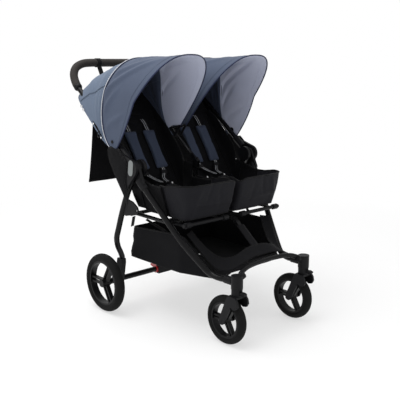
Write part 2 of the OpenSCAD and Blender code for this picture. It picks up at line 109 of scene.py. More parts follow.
class Path:
    """A curve that is read by its length, from 0 to 1."""

    def __init__(self, points, steps=8):
        self.p = smooth(points, steps) if steps else [Vector(q) for q in points]
        self.s = [0.0]
        for a, b in zip(self.p, self.p[1:]):
            self.s.append(self.s[-1] + (b - a).length)
        self.length = self.s[-1]

    def at(self, t):
        want = min(max(t, 0.0), 1.0) * self.length
        i = 1
        while i < len(self.s) - 1 and self.s[i] < want:
            i += 1
        a, b = self.s[i - 1], self.s[i]
        k = 0 if b == a else (want - a) / (b - a)
        return self.p[i - 1].lerp(self.p[i], k)

    def tangent(self, t):
        return (self.at(t + 0.01) - self.at(t - 0.01)).normalized()


def bump(x, centre, width):
    return math.exp(-((x - centre) / width) ** 2)


def ease(k):
    k = min(max(k, 0.0), 1.0)
    return k * k * (3 - 2 * k)


def ripple(p, scale, seed=0.0):
    """Soft, repeatable unevenness of cloth at a point in mm."""
    return noise.noise(Vector(p) / scale + Vector((seed, seed * 0.7, -seed)))


# ---------------------------------------------------------------- building helpers
def clear():
    if bpy.context.object and bpy.context.object.mode != "OBJECT":
        bpy.ops.object.mode_set(mode="OBJECT")
    bpy.ops.object.select_all(action="DESELECT")


def select(*objs):
    clear()
    for o in objs:
        o.select_set(True)
    bpy.context.view_layer.objects.active = objs[0]


def apply_all(obj):
    select(obj)
    for m in list(obj.modifiers):
        bpy.ops.object.modifier_apply(modifier=m.name)


def named(name):
    """The object that an operator has just made, with its name."""
    o = bpy.context.object
    o.name = o.data.name = name
    return o


def grid(name, nu, nv, place, size):
    """A subdivided plane laid over a surface; its UV map is in metres."""
    clear()
    bpy.ops.mesh.primitive_grid_add(x_subdivisions=nu, y_subdivisions=nv, size=1)
    o = named(name)
    uv = o.data.uv_layers[0].data
    for loop in o.data.loops:
        co = o.data.vertices[loop.vertex_index].co
        uv[loop.index].uv = ((co.x + 0.5) * size[0], (co.y + 0.5) * size[1])
    for v in o.data.vertices:
        v.co = Vector(place(v.co.x + 0.5, v.co.y + 0.5)) * MM
    return o


def thicken(obj, t, offset=0.0, inner=None):
    """Gives a surface a thickness in mm; the far face can have a material of its own."""
    m = obj.modifiers.new("Solidify", "SOLIDIFY")
    m.thickness, m.offset = t * MM, offset
    m.use_even_offset = False
    if inner is not None:
        obj.data.materials.append(inner)
        m.material_offset = 1
    apply_all(obj)


def dress(obj, finish, slot, body, replaces=(), smooth_angle=180):
    """Gives a piece its finish, body and stand-in, with its faces shaded smooth."""
    if obj.data.materials:
        obj.data.materials[0] = MATS[finish]
    else:
        obj.data.materials.append(MATS[finish])
    select(obj)
    if smooth_angle >= 180:
        bpy.ops.object.shade_smooth()
    else:
        bpy.ops.object.shade_smooth_by_angle(angle=math.radians(smooth_angle))
    if body:
        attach(obj, body)
    if replaces:
        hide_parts(*replaces)
    return obj


def flipped(sign, u):
    return u if sign > 0 else 1 - u


def sided(sign, p):
    return Vector((p[0] * sign, p[1], p[2]))


def route(sign, points, steps=6):
    """A path whose points are given for the left side, in mm."""
    return Path([sided(sign, p) for p in points], steps)


def cloth(name, nu, nv, place, size, thick, *dressing):
    """A surface laid by place, thickened evenly to both sides and dressed."""
    o = grid(name, nu, nv, place, size)
    thicken(o, thick)
    return dress(o, *dressing)


def bead(name, path, r, n, *dressing, **shape):
    """A thin round edge or cord along a path, dressed."""
    return dress(tube(name, path, r, n, **shape), *dressing)


def strap(name, path, width, across, thick, n=40):
    """Flat webbing along a path; across is the direction of its width."""
    across = Vector(across).normalized()

    def place(u, v):
        t = path.tangent(v)
        side = (across - t * across.dot(t)).normalized()
        return path.at(v) + side * ((u - 0.5) * width)
    o = grid(name, 4, n, place, (width * MM, path.length * MM))
    thicken(o, thick)
    return o


def tube(name, path, r, n, ends=True, sides=12, profile=None):
    """A round bar along a path; profile scales its radius along the way."""
    curve = bpy.data.curves.new(name, "CURVE")
    curve.dimensions = "3D"
    curve.bevel_depth = r * MM
    curve.bevel_resolution = max(1, sides // 4)
    curve.use_fill_caps = ends
    sp = curve.splines.new("POLY")
    sp.points.add(n)
    for i in range(n + 1):
        sp.points[i].co = (*(path.at(i / n) * MM), 1)
        if profile:
            sp.points[i].radius = profile(i / n)
    o = bpy.data.objects.new(name, curve)
    bpy.context.scene.collection.objects.link(o)
    select(o)
    bpy.ops.object.convert(target="MESH")
    return named(name)


def edit_mesh(*jobs):
    """Runs mesh operators, each on all of the active object."""
    bpy.ops.object.mode_set(mode="EDIT")
    for job, options in jobs:
        bpy.ops.mesh.select_all(action="SELECT")
        getattr(bpy.ops.mesh, job)(**options)
    bpy.ops.object.mode_set(mode="OBJECT")


def turned(name, profile, steps=48):
    """A part turned on a lathe around X: profile is (radius, along) points in mm."""
    clear()
    bpy.ops.mesh.primitive_plane_add(size=1)
    o = named(name)
    bm = bmesh.new()
    vs = [bm.verts.new((h * MM, r * MM, 0)) for r, h in profile]
    for a, b in zip(vs, vs[1:]):
        bm.edges.new((a, b))
    bm.to_mesh(o.data)
    bm.free()
    edit_mesh(("spin", {"steps": steps, "angle": 2 * math.pi, "center": (0, 0, 0),
                        "axis": (1, 0, 0)}),
              ("remove_doubles", {"threshold": 1e-6}),
              ("normals_make_consistent", {"inside": False}))
    return o


def moved(obj, at, turn=Matrix()):
    """Turns a mesh about its origin and moves it to a point in mm."""
    obj.data.transform(Matrix.Translation(Vector(at) * MM) @ turn)
    return obj


def turn_from_x(direction):
    return Vector((1, 0, 0)).rotation_difference(Vector(direction)).to_matrix().to_4x4()


def block(name, lo, hi, bevel=2.0, cuts=0, segments=3):
    """A rounded block between two corners in mm."""
    clear()
    lo, hi = Vector(lo), Vector(hi)
    bpy.ops.mesh.primitive_cube_add(size=1)
    o = named(name)
    for v in o.data.vertices:
        v.co = Vector((lo[i] if v.co[i] < 0 else hi[i]) * MM for i in range(3))
    if cuts:
        edit_mesh(("subdivide", {"number_cuts": cuts}))
    if bevel:
        m = o.modifiers.new("Bevel", "BEVEL")
        m.width, m.segments, m.limit_method = bevel * MM, segments, "ANGLE"
        apply_all(o)
    return o


def join(name, objs):
    select(*objs)
    bpy.ops.object.join()
    return named(name)


def copied(obj, name, matrix, flip=False):
    o = obj.copy()
    o.data = obj.data.copy()
    o.name = o.data.name = name
    bpy.context.scene.collection.objects.link(o)
    o.data.transform(matrix)
    if flip:
        o.data.flip_normals()
    return o


MIRROR = Matrix.Scale(-1, 4, (1, 0, 0))


PUFF_FRAMES = 20


def inflate(obj, voxel, cap, pressure):
    """Puffs a closed form up as stuffed cloth, moving no point further than cap."""
    select(obj)
    m = obj.modifiers.new("Remesh", "REMESH")
    m.mode, m.voxel_size = "VOXEL", voxel * MM
    apply_all(obj)
    before = [v.co.copy() for v in obj.data.vertices]
    m = obj.modifiers.new("Cloth", "CLOTH")
    st = m.settings
    st.quality, st.mass = 5, 0.25
    st.use_pressure, st.uniform_pressure_force = True, pressure
    st.effector_weights.gravity = 0
    st.tension_stiffness = st.compression_stiffness = 12
    st.bending_stiffness = 0.4
    m.point_cache.frame_start, m.point_cache.frame_end = 1, PUFF_FRAMES
    for f in range(1, PUFF_FRAMES + 1):
        bpy.context.scene.frame_set(f)
    apply_all(obj)
    bpy.context.scene.frame_set(1)
    for v, c in zip(obj.data.vertices, before):
        d = v.co - c
        if d.length > cap * MM:
            v.co = c + d * (cap * MM / d.length)
    s = obj.modifiers.new("Subdivision", "SUBSURF")
    s.levels = s.render_levels = 1
    apply_all(obj)


# ---------------------------------------------------------------- materials
def sockets(group, ins, outs):
    for name, kind, value in ins:
        s = group.interface.new_socket(name, in_out="INPUT", socket_type=kind)
        if value is not None:
            s.default_value = value
    for name, kind in outs:
        group.interface.new_socket(name, in_out="OUTPUT", socket_type=kind)


class Nodes:
    """Adds and links shader nodes with little writing."""

    def __init__(self, tree):
        self.t = tree

    def add(self, kind, ins=None, **props):
        n = self.t.nodes.new(kind)
        for k, v in props.items():
            setattr(n, k, v)
        for k, v in (ins or {}).items():
            s = n.inputs[k]
            if isinstance(v, bpy.types.NodeSocket):
                self.t.links.new(v, s)
            else:
                s.default_value = v
        return n

    def math(self, op, a, b=0.0, c=None):
        ins = {0: a, 1: b}
        if c is not None:
            ins[2] = c
        return self.add("ShaderNodeMath", ins, operation=op).outputs[0]

    def mix(self, fac, a, b):
        n = self.add("ShaderNodeMix", None, data_type="RGBA")
        for k, v in ((0, fac), (6, a), (7, b)):
            if isinstance(v, bpy.types.NodeSocket):
                self.t.links.new(v, n.inputs[k])
            else:
                n.inputs[k].default_value = v
        return n.outputs[2]

    def finish(self, bsdf, colour, height, strength, distance):
        """Links a colour and a relief to the shader."""
        self.t.links.new(colour, bsdf.inputs["Base Color"])
        relief = self.add("ShaderNodeBump", {"Height": height, "Strength": strength,
                                             "Distance": distance})
        self.t.links.new(relief.outputs[0], bsdf.inputs["Normal"])

    def noise(self, vector, scale, detail=3.0, rough=0.5):
        return self.add("ShaderNodeTexNoise", {
            "Vector": vector, "Scale": scale, "Detail": detail, "Roughness": rough}).outputs["Fac"]


def weave_group():
    """Crossing threads: height and shade of a plain weave or, with Slant, a twill."""
    g = bpy.data.node_groups.new("Weave", "ShaderNodeTree")
    sockets(g, [("Vector", "NodeSocketVector", None), ("Threads", "NodeSocketFloat", 1400.0),
                ("Slant", "NodeSocketFloat", 0.0)],
            [("Height", "NodeSocketFloat"), ("Shade", "NodeSocketFloat")])
    n = Nodes(g)
    gi, go = n.add("NodeGroupInput"), n.add("NodeGroupOutput")
    xyz = n.add("ShaderNodeSeparateXYZ", {0: gi.outputs["Vector"]})
    fx = n.math("MULTIPLY", xyz.outputs[0], gi.outputs["Threads"])
    y = n.math("ADD", xyz.outputs[1], n.math("MULTIPLY", xyz.outputs[2], 0.83))
    fy = n.math("MULTIPLY", y, gi.outputs["Threads"])
    fy = n.math("ADD", fy, n.math("MULTIPLY", fx, gi.outputs["Slant"]))
    sx, sy = n.math("SINE", fx), n.math("SINE", fy)
    cross = n.math("MULTIPLY", sx, sy)
    height = n.math("MULTIPLY_ADD", cross, 0.5, 0.5)
    slub = n.noise(gi.outputs["Vector"], 260.0, 2.0, 0.7)
    cloud = n.noise(gi.outputs["Vector"], 14.0, 3.0, 0.55)
    shade = n.math("ADD", n.math("MULTIPLY", height, 0.45), n.math("MULTIPLY", slub, 0.35))
    shade = n.math("ADD", shade, n.math("MULTIPLY", cloud, 0.3))
    g.links.new(height, go.inputs["Height"])
    g.links.new(shade, go.inputs["Shade"])
    return g


def grain_group():
    """Fine moulded or powder-coated grain, with a little dust on what faces up."""
    g = bpy.data.node_groups.new("Grain", "ShaderNodeTree")
    sockets(g, [("Vector", "NodeSocketVector", None), ("Scale", "NodeSocketFloat", 900.0),
                ("Roughness", "NodeSocketFloat", 0.5)],
            [("Height", "NodeSocketFloat"), ("Roughness", "NodeSocketFloat"),
             ("Dust", "NodeSocketFloat")])
    n = Nodes(g)
    gi, go = n.add("NodeGroupInput"), n.add("NodeGroupOutput")
    fine = n.noise(gi.outputs["Vector"], gi.outputs["Scale"], 2.0, 0.6)
    broad = n.noise(gi.outputs["Vector"], 18.0, 4.0, 0.6)
    rough = n.math("ADD", gi.outputs["Roughness"],
                   n.math("MULTIPLY", n.math("SUBTRACT", broad, 0.5), 0.22))
    geo = n.add("ShaderNodeNewGeometry")
    up = n.add("ShaderNodeSeparateXYZ", {0: geo.outputs["Normal"]}).outputs[2]
    dust = n.math("MULTIPLY", n.math("MAXIMUM", up, 0.0), n.math("POWER", broad, 3.0))
    g.links.new(fine, go.inputs["Height"])
    g.links.new(rough, go.inputs["Roughness"])
    g.links.new(dust, go.inputs["Dust"])
    return g


def material(name, **shader):
    m = bpy.data.materials.new(name)
    m.use_nodes = True
    bsdf = m.node_tree.nodes["Principled BSDF"]
    for k, v in shader.items():
        bsdf.inputs[k.replace("_", " ")].default_value = v
    return m, Nodes(m.node_tree), bsdf


def rgb(c, k=1.0):
    return (c[0] * k, c[1] * k, c[2] * k, 1.0)


GROUPS = {}
DUST = (0.16, 0.155, 0.15)


def cloth_material(name, colour, threads=2600, slant=0.0, contrast=0.4, uv=True, depth=0.35,
                   roughness=0.85, sheen=0.12):
    m, n, b = material(name, Roughness=roughness, Sheen_Weight=sheen, Sheen_Roughness=0.4,
                       Specular_IOR_Level=0.12)
    at = n.add("ShaderNodeTexCoord").outputs["UV" if uv else "Object"]
    w = n.add("ShaderNodeGroup", {"Vector": at, "Threads": threads, "Slant": slant},
              node_tree=GROUPS["weave"])
    shade = n.mix(w.outputs["Shade"], rgb(colour, 1 - contrast), rgb(colour, 1 + contrast))
    n.finish(b, shade, w.outputs["Height"], depth, 0.0004)
    return m


def hard_material(name, colour, rough=0.45, scale=900, depth=0.12, metallic=0.0, dust=0.0,
                  coat=0.0, spec=0.5):
    m, n, b = material(name, Metallic=metallic, Coat_Weight=coat, Specular_IOR_Level=spec)
    at = n.add("ShaderNodeTexCoord").outputs["Object"]
    g = n.add("ShaderNodeGroup", {"Vector": at, "Scale": scale, "Roughness": rough},
              node_tree=GROUPS["grain"])
    mask = n.math("MULTIPLY", g.outputs["Dust"], dust)
    n.t.links.new(g.outputs["Roughness"], b.inputs["Roughness"])
    n.finish(b, n.mix(mask, rgb(colour), rgb(DUST)), g.outputs["Height"], depth, 0.0003)
    return m


def foam_material(name, colour):
    m, n, b = material(name, Roughness=0.8, Specular_IOR_Level=0.3)
    tc = n.add("ShaderNodeTexCoord").outputs["Object"]
    cell = n.add("ShaderNodeTexVoronoi", {"Vector": tc, "Scale": 700.0}).outputs["Distance"]
    cloud = n.noise(tc, 30.0, 4.0, 0.6)
    fac = n.math("ADD", n.math("MULTIPLY", cell, 0.5), n.math("MULTIPLY", cloud, 0.6))
    n.finish(b, n.mix(fac, rgb(colour, 0.7), rgb(colour, 1.35)), cell, 0.4, 0.0005)
    return m


def tyre_material(name, colour):
    m, n, b = material(name, Roughness=0.78, Specular_IOR_Level=0.12)
    tc = n.add("ShaderNodeTexCoord").outputs["Object"]
    x = n.add("ShaderNodeSeparateXYZ", {0: tc}).outputs[0]
    ribs = n.math("SINE", n.math("MULTIPLY", x, 1500.0))
    cloud = n.noise(tc, 40.0, 4.0, 0.6)
    h = n.math("ADD", n.math("MULTIPLY", ribs, 0.25), n.noise(tc, 600.0, 2.0))
    n.finish(b, n.mix(cloud, rgb(colour, 0.75), rgb(colour, 1.5)), h, 0.25, 0.0006)
    return m


MATS = {}
# each cloth: its name, its colour or the setting that holds it, and how it is woven
CLOTHS = {
    "canopy": ("canopy chambray", "canopy_colour", {"contrast": 0.28}),
    "visor": ("visor chambray", "visor_colour", {"contrast": 0.3}),
    "lining": ("canopy lining", (0.56, 0.59, 0.72), {"contrast": 0.15, "sheen": 0.05}),
    "binding": ("navy binding", (0.020, 0.026, 0.060),
                {"threads": 1800, "slant": 1.0, "contrast": 0.45}),
    "seat": ("seat polyester", "seat_colour", {"threads": 2200, "sheen": 0.02}),
    "seat_pad": ("seat padding", "seat_colour", {"threads": 2200, "sheen": 0.02, "uv": False}),
    "tub": ("foot well oxford", (0.009, 0.009, 0.0115),
            {"threads": 1500, "sheen": 0.03, "roughness": 0.7}),
    "basket": ("basket twill", (0.0045, 0.0045, 0.0055),
               {"threads": 1600, "slant": 1.0, "sheen": 0.03}),
    "pad": ("harness pad chambray", "pad_colour", {"uv": False, "contrast": 0.35}),
    "webbing": ("black webbing", (0.004, 0.004, 0.0045),
                {"threads": 2400, "slant": 1.0, "contrast": 0.5, "depth": 0.6}),
    "stripe": ("reflective thread", (0.55, 0.56, 0.58),
               {"threads": 2400, "contrast": 0.2, "roughness": 0.4}),
    "piping": ("silver piping", (0.62, 0.63, 0.66),
               {"threads": 2400, "contrast": 0.2, "roughness": 0.45, "uv": False}),
}
HARD = {
    "tube": ("satin powder coat", (0.0045, 0.0045, 0.005),
             {"rough": 0.26, "depth": 0.08, "dust": 0.015, "spec": 0.16}),
    "plastic": ("moulded black plastic", (0.006, 0.006, 0.007),
                {"scale": 1100, "depth": 0.2, "dust": 0.02, "spec": 0.14}),
    "rim": ("rim plastic", (0.004, 0.004, 0.0045),
            {"rough": 0.42, "scale": 1300, "depth": 0.1, "dust": 0.02, "spec": 0.18}),
    "badge": ("blank grey badge", (0.16, 0.175, 0.175),
              {"rough": 0.35, "scale": 600, "depth": 0.05, "coat": 0.3}),
    "steel": ("plain steel", (0.55, 0.55, 0.57), {"rough": 0.3, "metallic": 1.0}),
    "red": ("brake red", (0.42, 0.012, 0.016), {"rough": 0.3, "coat": 0.5, "depth": 0.05}),
    "chrome": ("bright rivet", (0.75, 0.75, 0.76), {"rough": 0.2, "metallic": 1.0, "depth": 0.02}),
    "white": ("white press stud", (0.8, 0.8, 0.8), {"rough": 0.35, "depth": 0.02}),
}


def build_materials(p):
    GROUPS.update(weave=weave_group(), grain=grain_group())
    for make, table in ((cloth_material, CLOTHS), (hard_material, HARD)):
        for key, (name, colour, options) in table.items():
            if isinstance(colour, str):
                colour = getattr(p, colour)
            MATS[key] = make(name, colour, **options)
    MATS["foam"] = foam_material("grip foam", (0.022, 0.019, 0.017))
    MATS["tyre"] = tyre_material("tyre foam", (0.006, 0.006, 0.006))


SLOT_FINISH = {
    "frame_black": "tube", "handle_black": "tube", "pin_steel": "steel",
    "moulded_black": "plastic", "rim_black": "rim", "tyre_foam": "tyre", "grip_foam": "foam",
    "badge_grey": "badge", "seat_fabric": "seat_pad", "basket_fabric": "seat_pad",
    "webbing_black": "plastic", "pad_fabric": "pad", "canopy_fabric": "seat_pad",
    "brake_red": "red",
}


# ---------------------------------------------------------------- the canopy surface
BOW_STEPS = 300


def bow_table(half, r, ex, er):
    """Arch of half width and height r; smaller exponents make its shoulders squarer."""
    pts = []
    for i in range(BOW_STEPS + 1):
        s = math.pi * i / BOW_STEPS
        c = math.cos(s)
        rise = r * math.sin(s) ** er if 0 < i < BOW_STEPS else 0.0
        pts.append((math.copysign(abs(c) ** ex, c) * half, rise))
    run = [0.0]
    for a, b in zip(pts, pts[1:]):
        run.append(run[-1] + math.hypot(b[0] - a[0], b[1] - a[1]))
    return pts, run


def on_bow(table, t):
    pts, run = table
    want = t * run[-1]
    lo, hi = 0, len(run) - 1
    while hi - lo > 1:
        mid = (lo + hi) // 2
        if run[mid] < want:
            lo = mid
        else:
            hi = mid
    k = (want - run[lo]) / (run[hi] - run[lo])
    return tuple(a + (b - a) * k for a, b in zip(pts[lo], pts[hi]))


HALF = (CANOPY_OUT - CANOPY_IN) / 2
MIDDLE = (CANOPY_OUT + CANOPY_IN) / 2
ROUND = bow_table(HALF, CANOPY_R, 0.77, 0.59)
SQUARE = bow_table(HALF, CANOPY_R, 0.16, 0.47)
VISOR_START = 1.0     # v of the piping, between the rear edge at 0 and the rim at 2
VISOR_LAP = 1.5       # degrees that the rim goes past the frame's
# the rear edge's angle at the hood's feet, what it loses towards the top, and how fast
REAR_EDGE, REAR_LEAN, REAR_CURVE = 41.0, 2.3, 1.35
# the piping's angle at the top, what it loses towards the feet, and how fast
PIPING, PIPING_LEAN, PIPING_CURVE = 87.5, 65.9, 1.307
SKIRT, SKIRT_FROM = 38.0, 100.0          # how far the outer panels hang past the pivot
SKIRT_TURN, SKIRT_SWING = -48.5, -46.25  # the way they hang, in degrees, and its change with v
PUSH = 11.0           # how far they stand out, clear of the side tube
# rear folds: height, slope, v of the line, width, then the middle and the reach in t
REAR_FOLDS = ((3.2, 0.25, 0.82, 0.07, 0.2, 0.16), (2.6, -0.9, 0.36, 0.06, 0.26, 0.12),
              (2.2, 0.5, 0.5, 0.05, 0.4, 0.2), (2.4, 0.4, 0.7, 0.07, 0.72, 0.2))
# visor folds: t of the line's start, slope, width, height, and the v that it runs between
VISOR_FOLDS = ((0.16, 0.20, 0.016, 3.0, 1.05, 1.55), (0.225, 0.22, 0.022, 4.2, 1.0, 1.95),
               (0.31, 0.16, 0.018, 3.4, 1.05, 1.8), (0.42, 0.10, 0.02, 3.0, 1.1, 1.7),
               (0.10, 0.06, 0.014, 2.2, 1.1, 1.9), (0.66, -0.12, 0.02, 3.2, 1.05, 1.9),
               (0.78, -0.2, 0.018, 3.0, 1.0, 1.6))


def hood_point(part, v, t, inset=0.0, sagging=True):
    """Point on a hood panel: v runs from its rear edge to its front one, t over the bow."""
    v = v if part == "rear" else v + VISOR_START
    k = ease(v)
    (x0, r0), (x1, r1) = on_bow(SQUARE, t), on_bow(ROUND, t)
    x, r = x0 + (x1 - x0) * k, r0 + (r1 - r0) * k
    q = r / CANOPY_R
    rear = REAR_EDGE - REAR_LEAN * q ** REAR_CURVE
    split = PIPING - PIPING_LEAN * (1 - min(q, 1.0)) ** PIPING_CURVE
    if v < 1:
        a = rear + (split - rear) * v
    else:
        a = split + (VISOR_END + VISOR_LAP - split) * (v - 1)
    if a > SPLIT:
        rise = VISOR_RISE / CANOPY_R * (a - SPLIT) / (VISOR_END - SPLIT)
        r *= (1 + rise) / math.sin(math.radians(a))
    depth = inset
    if sagging:
        dip = abs(math.sin(math.pi * min(max(v, 0), 2))) * min(1.0, 2.4 * q)
        depth += (4.5 if v < 1 else 3.0) * dip
        depth -= creases(v, t) * min(1.0, 3 * q) * min(1.0, 4 * dip + 0.2)
    reach = 900.0 - 680.0 * min(v, 1.0)
    w = SKIRT * max(0.0, 1 - (r / reach) ** 2)
    w *= min(1.0, max(0.0, (x - SKIRT_FROM) / 50))
    x *= 1 - depth / HALF
    x += PUSH * w / SKIRT * (1 - ease((v - 0.75) / 0.25)) * ease(r / 60)
    r = max(r - depth * min(1.0, r / 90.0), 0.0)
    a, hang = math.radians(a), math.radians(SKIRT_TURN + SKIRT_SWING * v)
    return Vector((MIDDLE + x, PIVOT.y + r * math.cos(a) + w * math.cos(hang),
                   PIVOT.z + r * math.sin(a) + w * math.sin(hang)))


def creases(v, t):
    """Height of the soft folds that the stretched cloth takes."""
    if v < 1:
        return 1.7 * sum(height * bump(v + slope * t, at, width) * bump(t, middle, reach)
                         for height, slope, at, width, middle, reach in REAR_FOLDS)
    h = 0.0
    for start, slope, width, height, low, high in VISOR_FOLDS:
        h += (height * bump(t, start + slope * (v - 1), width)
              * ease((v - low) / 0.12) * ease((high - v) / 0.3))
    return 1.8 * h


# ---------------------------------------------------------------- canopies
def stud(name, p, normal, r, finish, slot, body):
    o = turned(name, [(0.0, 2.2), (r * 0.7, 2.0), (r, 0.8), (r, 0.0), (0.0, 0.0)], steps=20)
    return dress(moved(o, p, turn_from_x(normal)), finish, slot, body, smooth_angle=40)


CANOPY_END = 0.945     # the inner foot ends in a plastic tip, clear of the pivot
TEETH = 150


def build_canopy(side, sign):
    front, top, slot = f"canopy_{side}", "upper_frame", "canopy_fabric"
    span_u = ROUND[1][-1] * MM

    def hood(*where):
        return sided(sign, hood_point(*where))

    def panel(name, part, nu, nv, inset, finish):
        def place(u, v):
            t = flipped(sign, u) * CANOPY_END
            near = 3.6 * ease((v - 0.86) / 0.14) if part == "rear" else 0.0
            p = hood_point(part, v, t, inset - near)
            p += Vector((0, 0, 1.0)) * ripple(p, 60.0, 3.1)
            return sided(sign, p)
        o = grid(name, nu, nv, place, (span_u, 0.26))
        o.data.materials.append(MATS[finish])
        thicken(o, 1.4, -1.0, inner=MATS["lining" if part == "front" else "pad"])
        return o

    rear = dress(panel(f"canopy_rear_cloth_{side}", "rear", 96, 26, 5.6, "canopy"),
                 "canopy", slot, top, (f"canopy_rear_{side}",))
    fore = dress(panel(f"canopy_front_cloth_{side}", "front", 100, 40, 0.6, "visor"),
                 "visor", slot, None, (f"canopy_front_{side}",))

    def along(part, v, inset=0.0, t0=0.0, t1=1.0, n=90):
        return Path([hood(part, v, t0 + (t1 - t0) * i / n, inset, False)
                     for i in range(n + 1)], 0)

    rim, cord, tape, hem = (
        dress(tube(f"{name}_{side}", along(part, v, inset, t0, t1), r, n), finish, slot, body)
        for name, part, v, inset, t0, t1, r, n, finish, body in (
            ("visor_binding", "front", 1, 1.0, 0.0, CANOPY_END, 2.6, 110, "binding", None),
            ("bow_piping", "front", 0.012, -1.0, 0.015, CANOPY_END, 1.5, 110, "piping", top),
            ("bow_tape", "front", 0.045, -0.2, 0.01, CANOPY_END, 2.0, 110, "binding", top),
            ("rear_hem", "rear", 0, 6.2, 0.0, 1.0, 2.2, 100, "canopy", top)))
    # zip teeth beside the piping
    line = along("front", -0.03, 0.4, 0.02, CANOPY_END)
    teeth = []
    tooth = block(f"zip_teeth_{side}", (-1.2, -0.8, -0.7), (1.2, 0.8, 0.7), bevel=0)
    for i in range(TEETH):
        p, d = line.at((i + 0.5) / TEETH), line.tangent((i + 0.5) / TEETH)
        out = (p - sided(sign, (MIDDLE, PIVOT.y, PIVOT.z))).normalized()
        w = d.cross(out).normalized()
        m = Matrix((d, w, out)).transposed().to_4x4()
        teeth.append(copied(tooth, "tooth", Matrix.Translation(p * MM) @ m))
    bpy.data.objects.remove(tooth)
    zipper = dress(join(f"zip_teeth_{side}", teeth), "piping", slot, top)
    # run-and-fell seams over the hood, and a stitched line beside the visor's edge
    for k, t in enumerate((0.3, 0.7)):
        pts = [hood("rear", 0.03 + 0.94 * i / 20, t, 5.2) for i in range(21)]
        dress(strap(f"canopy_seam_{side}_{k}", Path(pts, 0), 6, (1, 0.2, 0.2), 0.7, 20),
              "canopy", slot, top)
    trims = []
    for k, (inset, finish) in enumerate(((0.1, "visor"), (2.4, "lining"))):
        pts = [hood("front", 0.90, 0.02 + (CANOPY_END - 0.02) * i / 80, inset)
               for i in range(81)]
        stitches = tube(f"visor_stitching_{side}_{k}", Path(pts, 0), 0.55, 100, sides=4)
        trims.append(dress(stitches, finish, slot, None))
    for k, t0 in enumerate((0.34, 0.66)):
        pts = [hood("front", 0.05 + 0.8 * i / 24, t0 + (0.5 - t0) * 0.35 * i / 24, 2.4)
               for i in range(25)]
        seam = tube(f"lining_seam_{side}_{k}", Path(pts, 0), 0.6, 40, sides=6)
        trims.append(dress(seam, "lining", slot, None))
    # plastic tip at the inner foot
    a, b = (hood("front", v, CANOPY_END, 1.0, False) for v in (0.98, 0.1))
    foot = sided(sign, (17.5, PIVOT.y, PIVOT.z))
    tip = join(f"canopy_tip_{side}", [
        tube("t", Path([p, p.lerp(q, k), q], 6), r, 12, sides=16)
        for p, q, k, r in ((foot, a, 0.6, 5.5), (foot, b, 0.6, 5.0), (a, b, 0.5, 4.0))])
    dress(tip, "plastic", "moulded_black", None)
    # oval eyelet, press studs and clips on the outer panel
    c = hood_point("rear", 0.62, 0.10, -3.5, False)
    ring = [c + Vector((0, 7 * math.cos(w) - 4 * math.sin(w), 14 * math.sin(w) + 2 * math.cos(w)))
            for w in [2 * math.pi * i / 12 for i in range(13)]]
    dress(tube(f"side_eyelet_{side}", route(sign, ring, 0), 2.0, 36, ends=False), "plastic",
          "moulded_black", top)
    for k, (v, t) in enumerate(((0.13, 0.155), (0.05, 0.07))):
        stud(f"canopy_stud_{side}_{k}", hood("rear", v, t, 4.5, False), (sign, 0, 0), 4.0,
             "white", "moulded_black", top)
    for k, t in enumerate((0.245, 0.268)):
        clip = block(f"rear_clip_{side}_{k}", (-4, -7, -6), (4, 7, 6), bevel=2)
        dress(moved(clip, hood("rear", 0.0, t, 4.0, False)), "chrome", "moulded_black", top,
              smooth_angle=40)

    # dark cloth that closes the rear of the hood
    def back(u, v):
        t = 0.03 + 0.94 * flipped(sign, u)
        p = hood_point("rear", 0.02, t, 8.0, False)
        low = Vector((p.x, PIVOT.y + 150 * 0.749, PIVOT.z + 150 * 0.663 - 42))
        q = low.lerp(p, v)
        q += Vector((0, -1, 1)) * (3.0 * math.sin(math.pi * v) * ripple(q, 50, 7) + 1.5)
        return sided(sign, q)
    closing = cloth(f"hood_back_cloth_{side}", 36, 12, back, (0.32, 0.16), 1.6, "seat", slot, top)
    for o in [fore, rim, tip] + trims:
        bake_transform(o)


# ---------------------------------------------------------------- seats
def on_back(x, along, lift):
    """Point on a backrest: x across, along up from its hinge, lift out of its front."""
    c, s = math.cos(BACK_ANGLE), math.sin(BACK_ANGLE)
    return Vector((x, BACK_HINGE.y + along * c - lift * s, BACK_HINGE.z + along * s + lift * c))


BACK_X = (28.0, 302.0)
BACK_MID = sum(BACK_X) / 2


def build_backrests():
    """Padded backs: one is puffed up and creased, the other is its mirror copy."""
    o = block("backrest_cloth_left", (BACK_X[0] + 7, 18, -6), (BACK_X[1] - 7, BACK_LEN - 8, 8),
              bevel=5, cuts=3)
    inflate(o, voxel=6.0, cap=7.0, pressure=4.0)
    for v in o.data.vertices:
        x, a, z = v.co / MM
        seam = 0.0
        for c in (BACK_X[0] + 52, BACK_X[1] - 52):
            seam += bump(x, c, 3.2)
        for c in (118, 236, 330):
            seam += 0.8 * bump(a, c, 3.2) * (1 if abs(x - BACK_MID) < 85 else 0)
        if z > 0:
            z -= 4.2 * seam
            z += 0.9 * ripple((x, a, z), 34.0, 1.7)
        v.co = on_back(x, a, min(max(z, -11.6), 16.0)) * MM
    pads = {"left": o, "right": copied(o, "backrest_cloth_right", MIRROR, flip=True)}
    for side, _ in SIDES:
        piece = dress(pads[side], "seat_pad", "seat_fabric", f"back_{side}",
                      (f"backrest_{side}",))


SIDE_CLOTH = [(74, 566), (62, 604), (64, 660), (84, 712), (140, 772), (200, 832), (250, 864)]


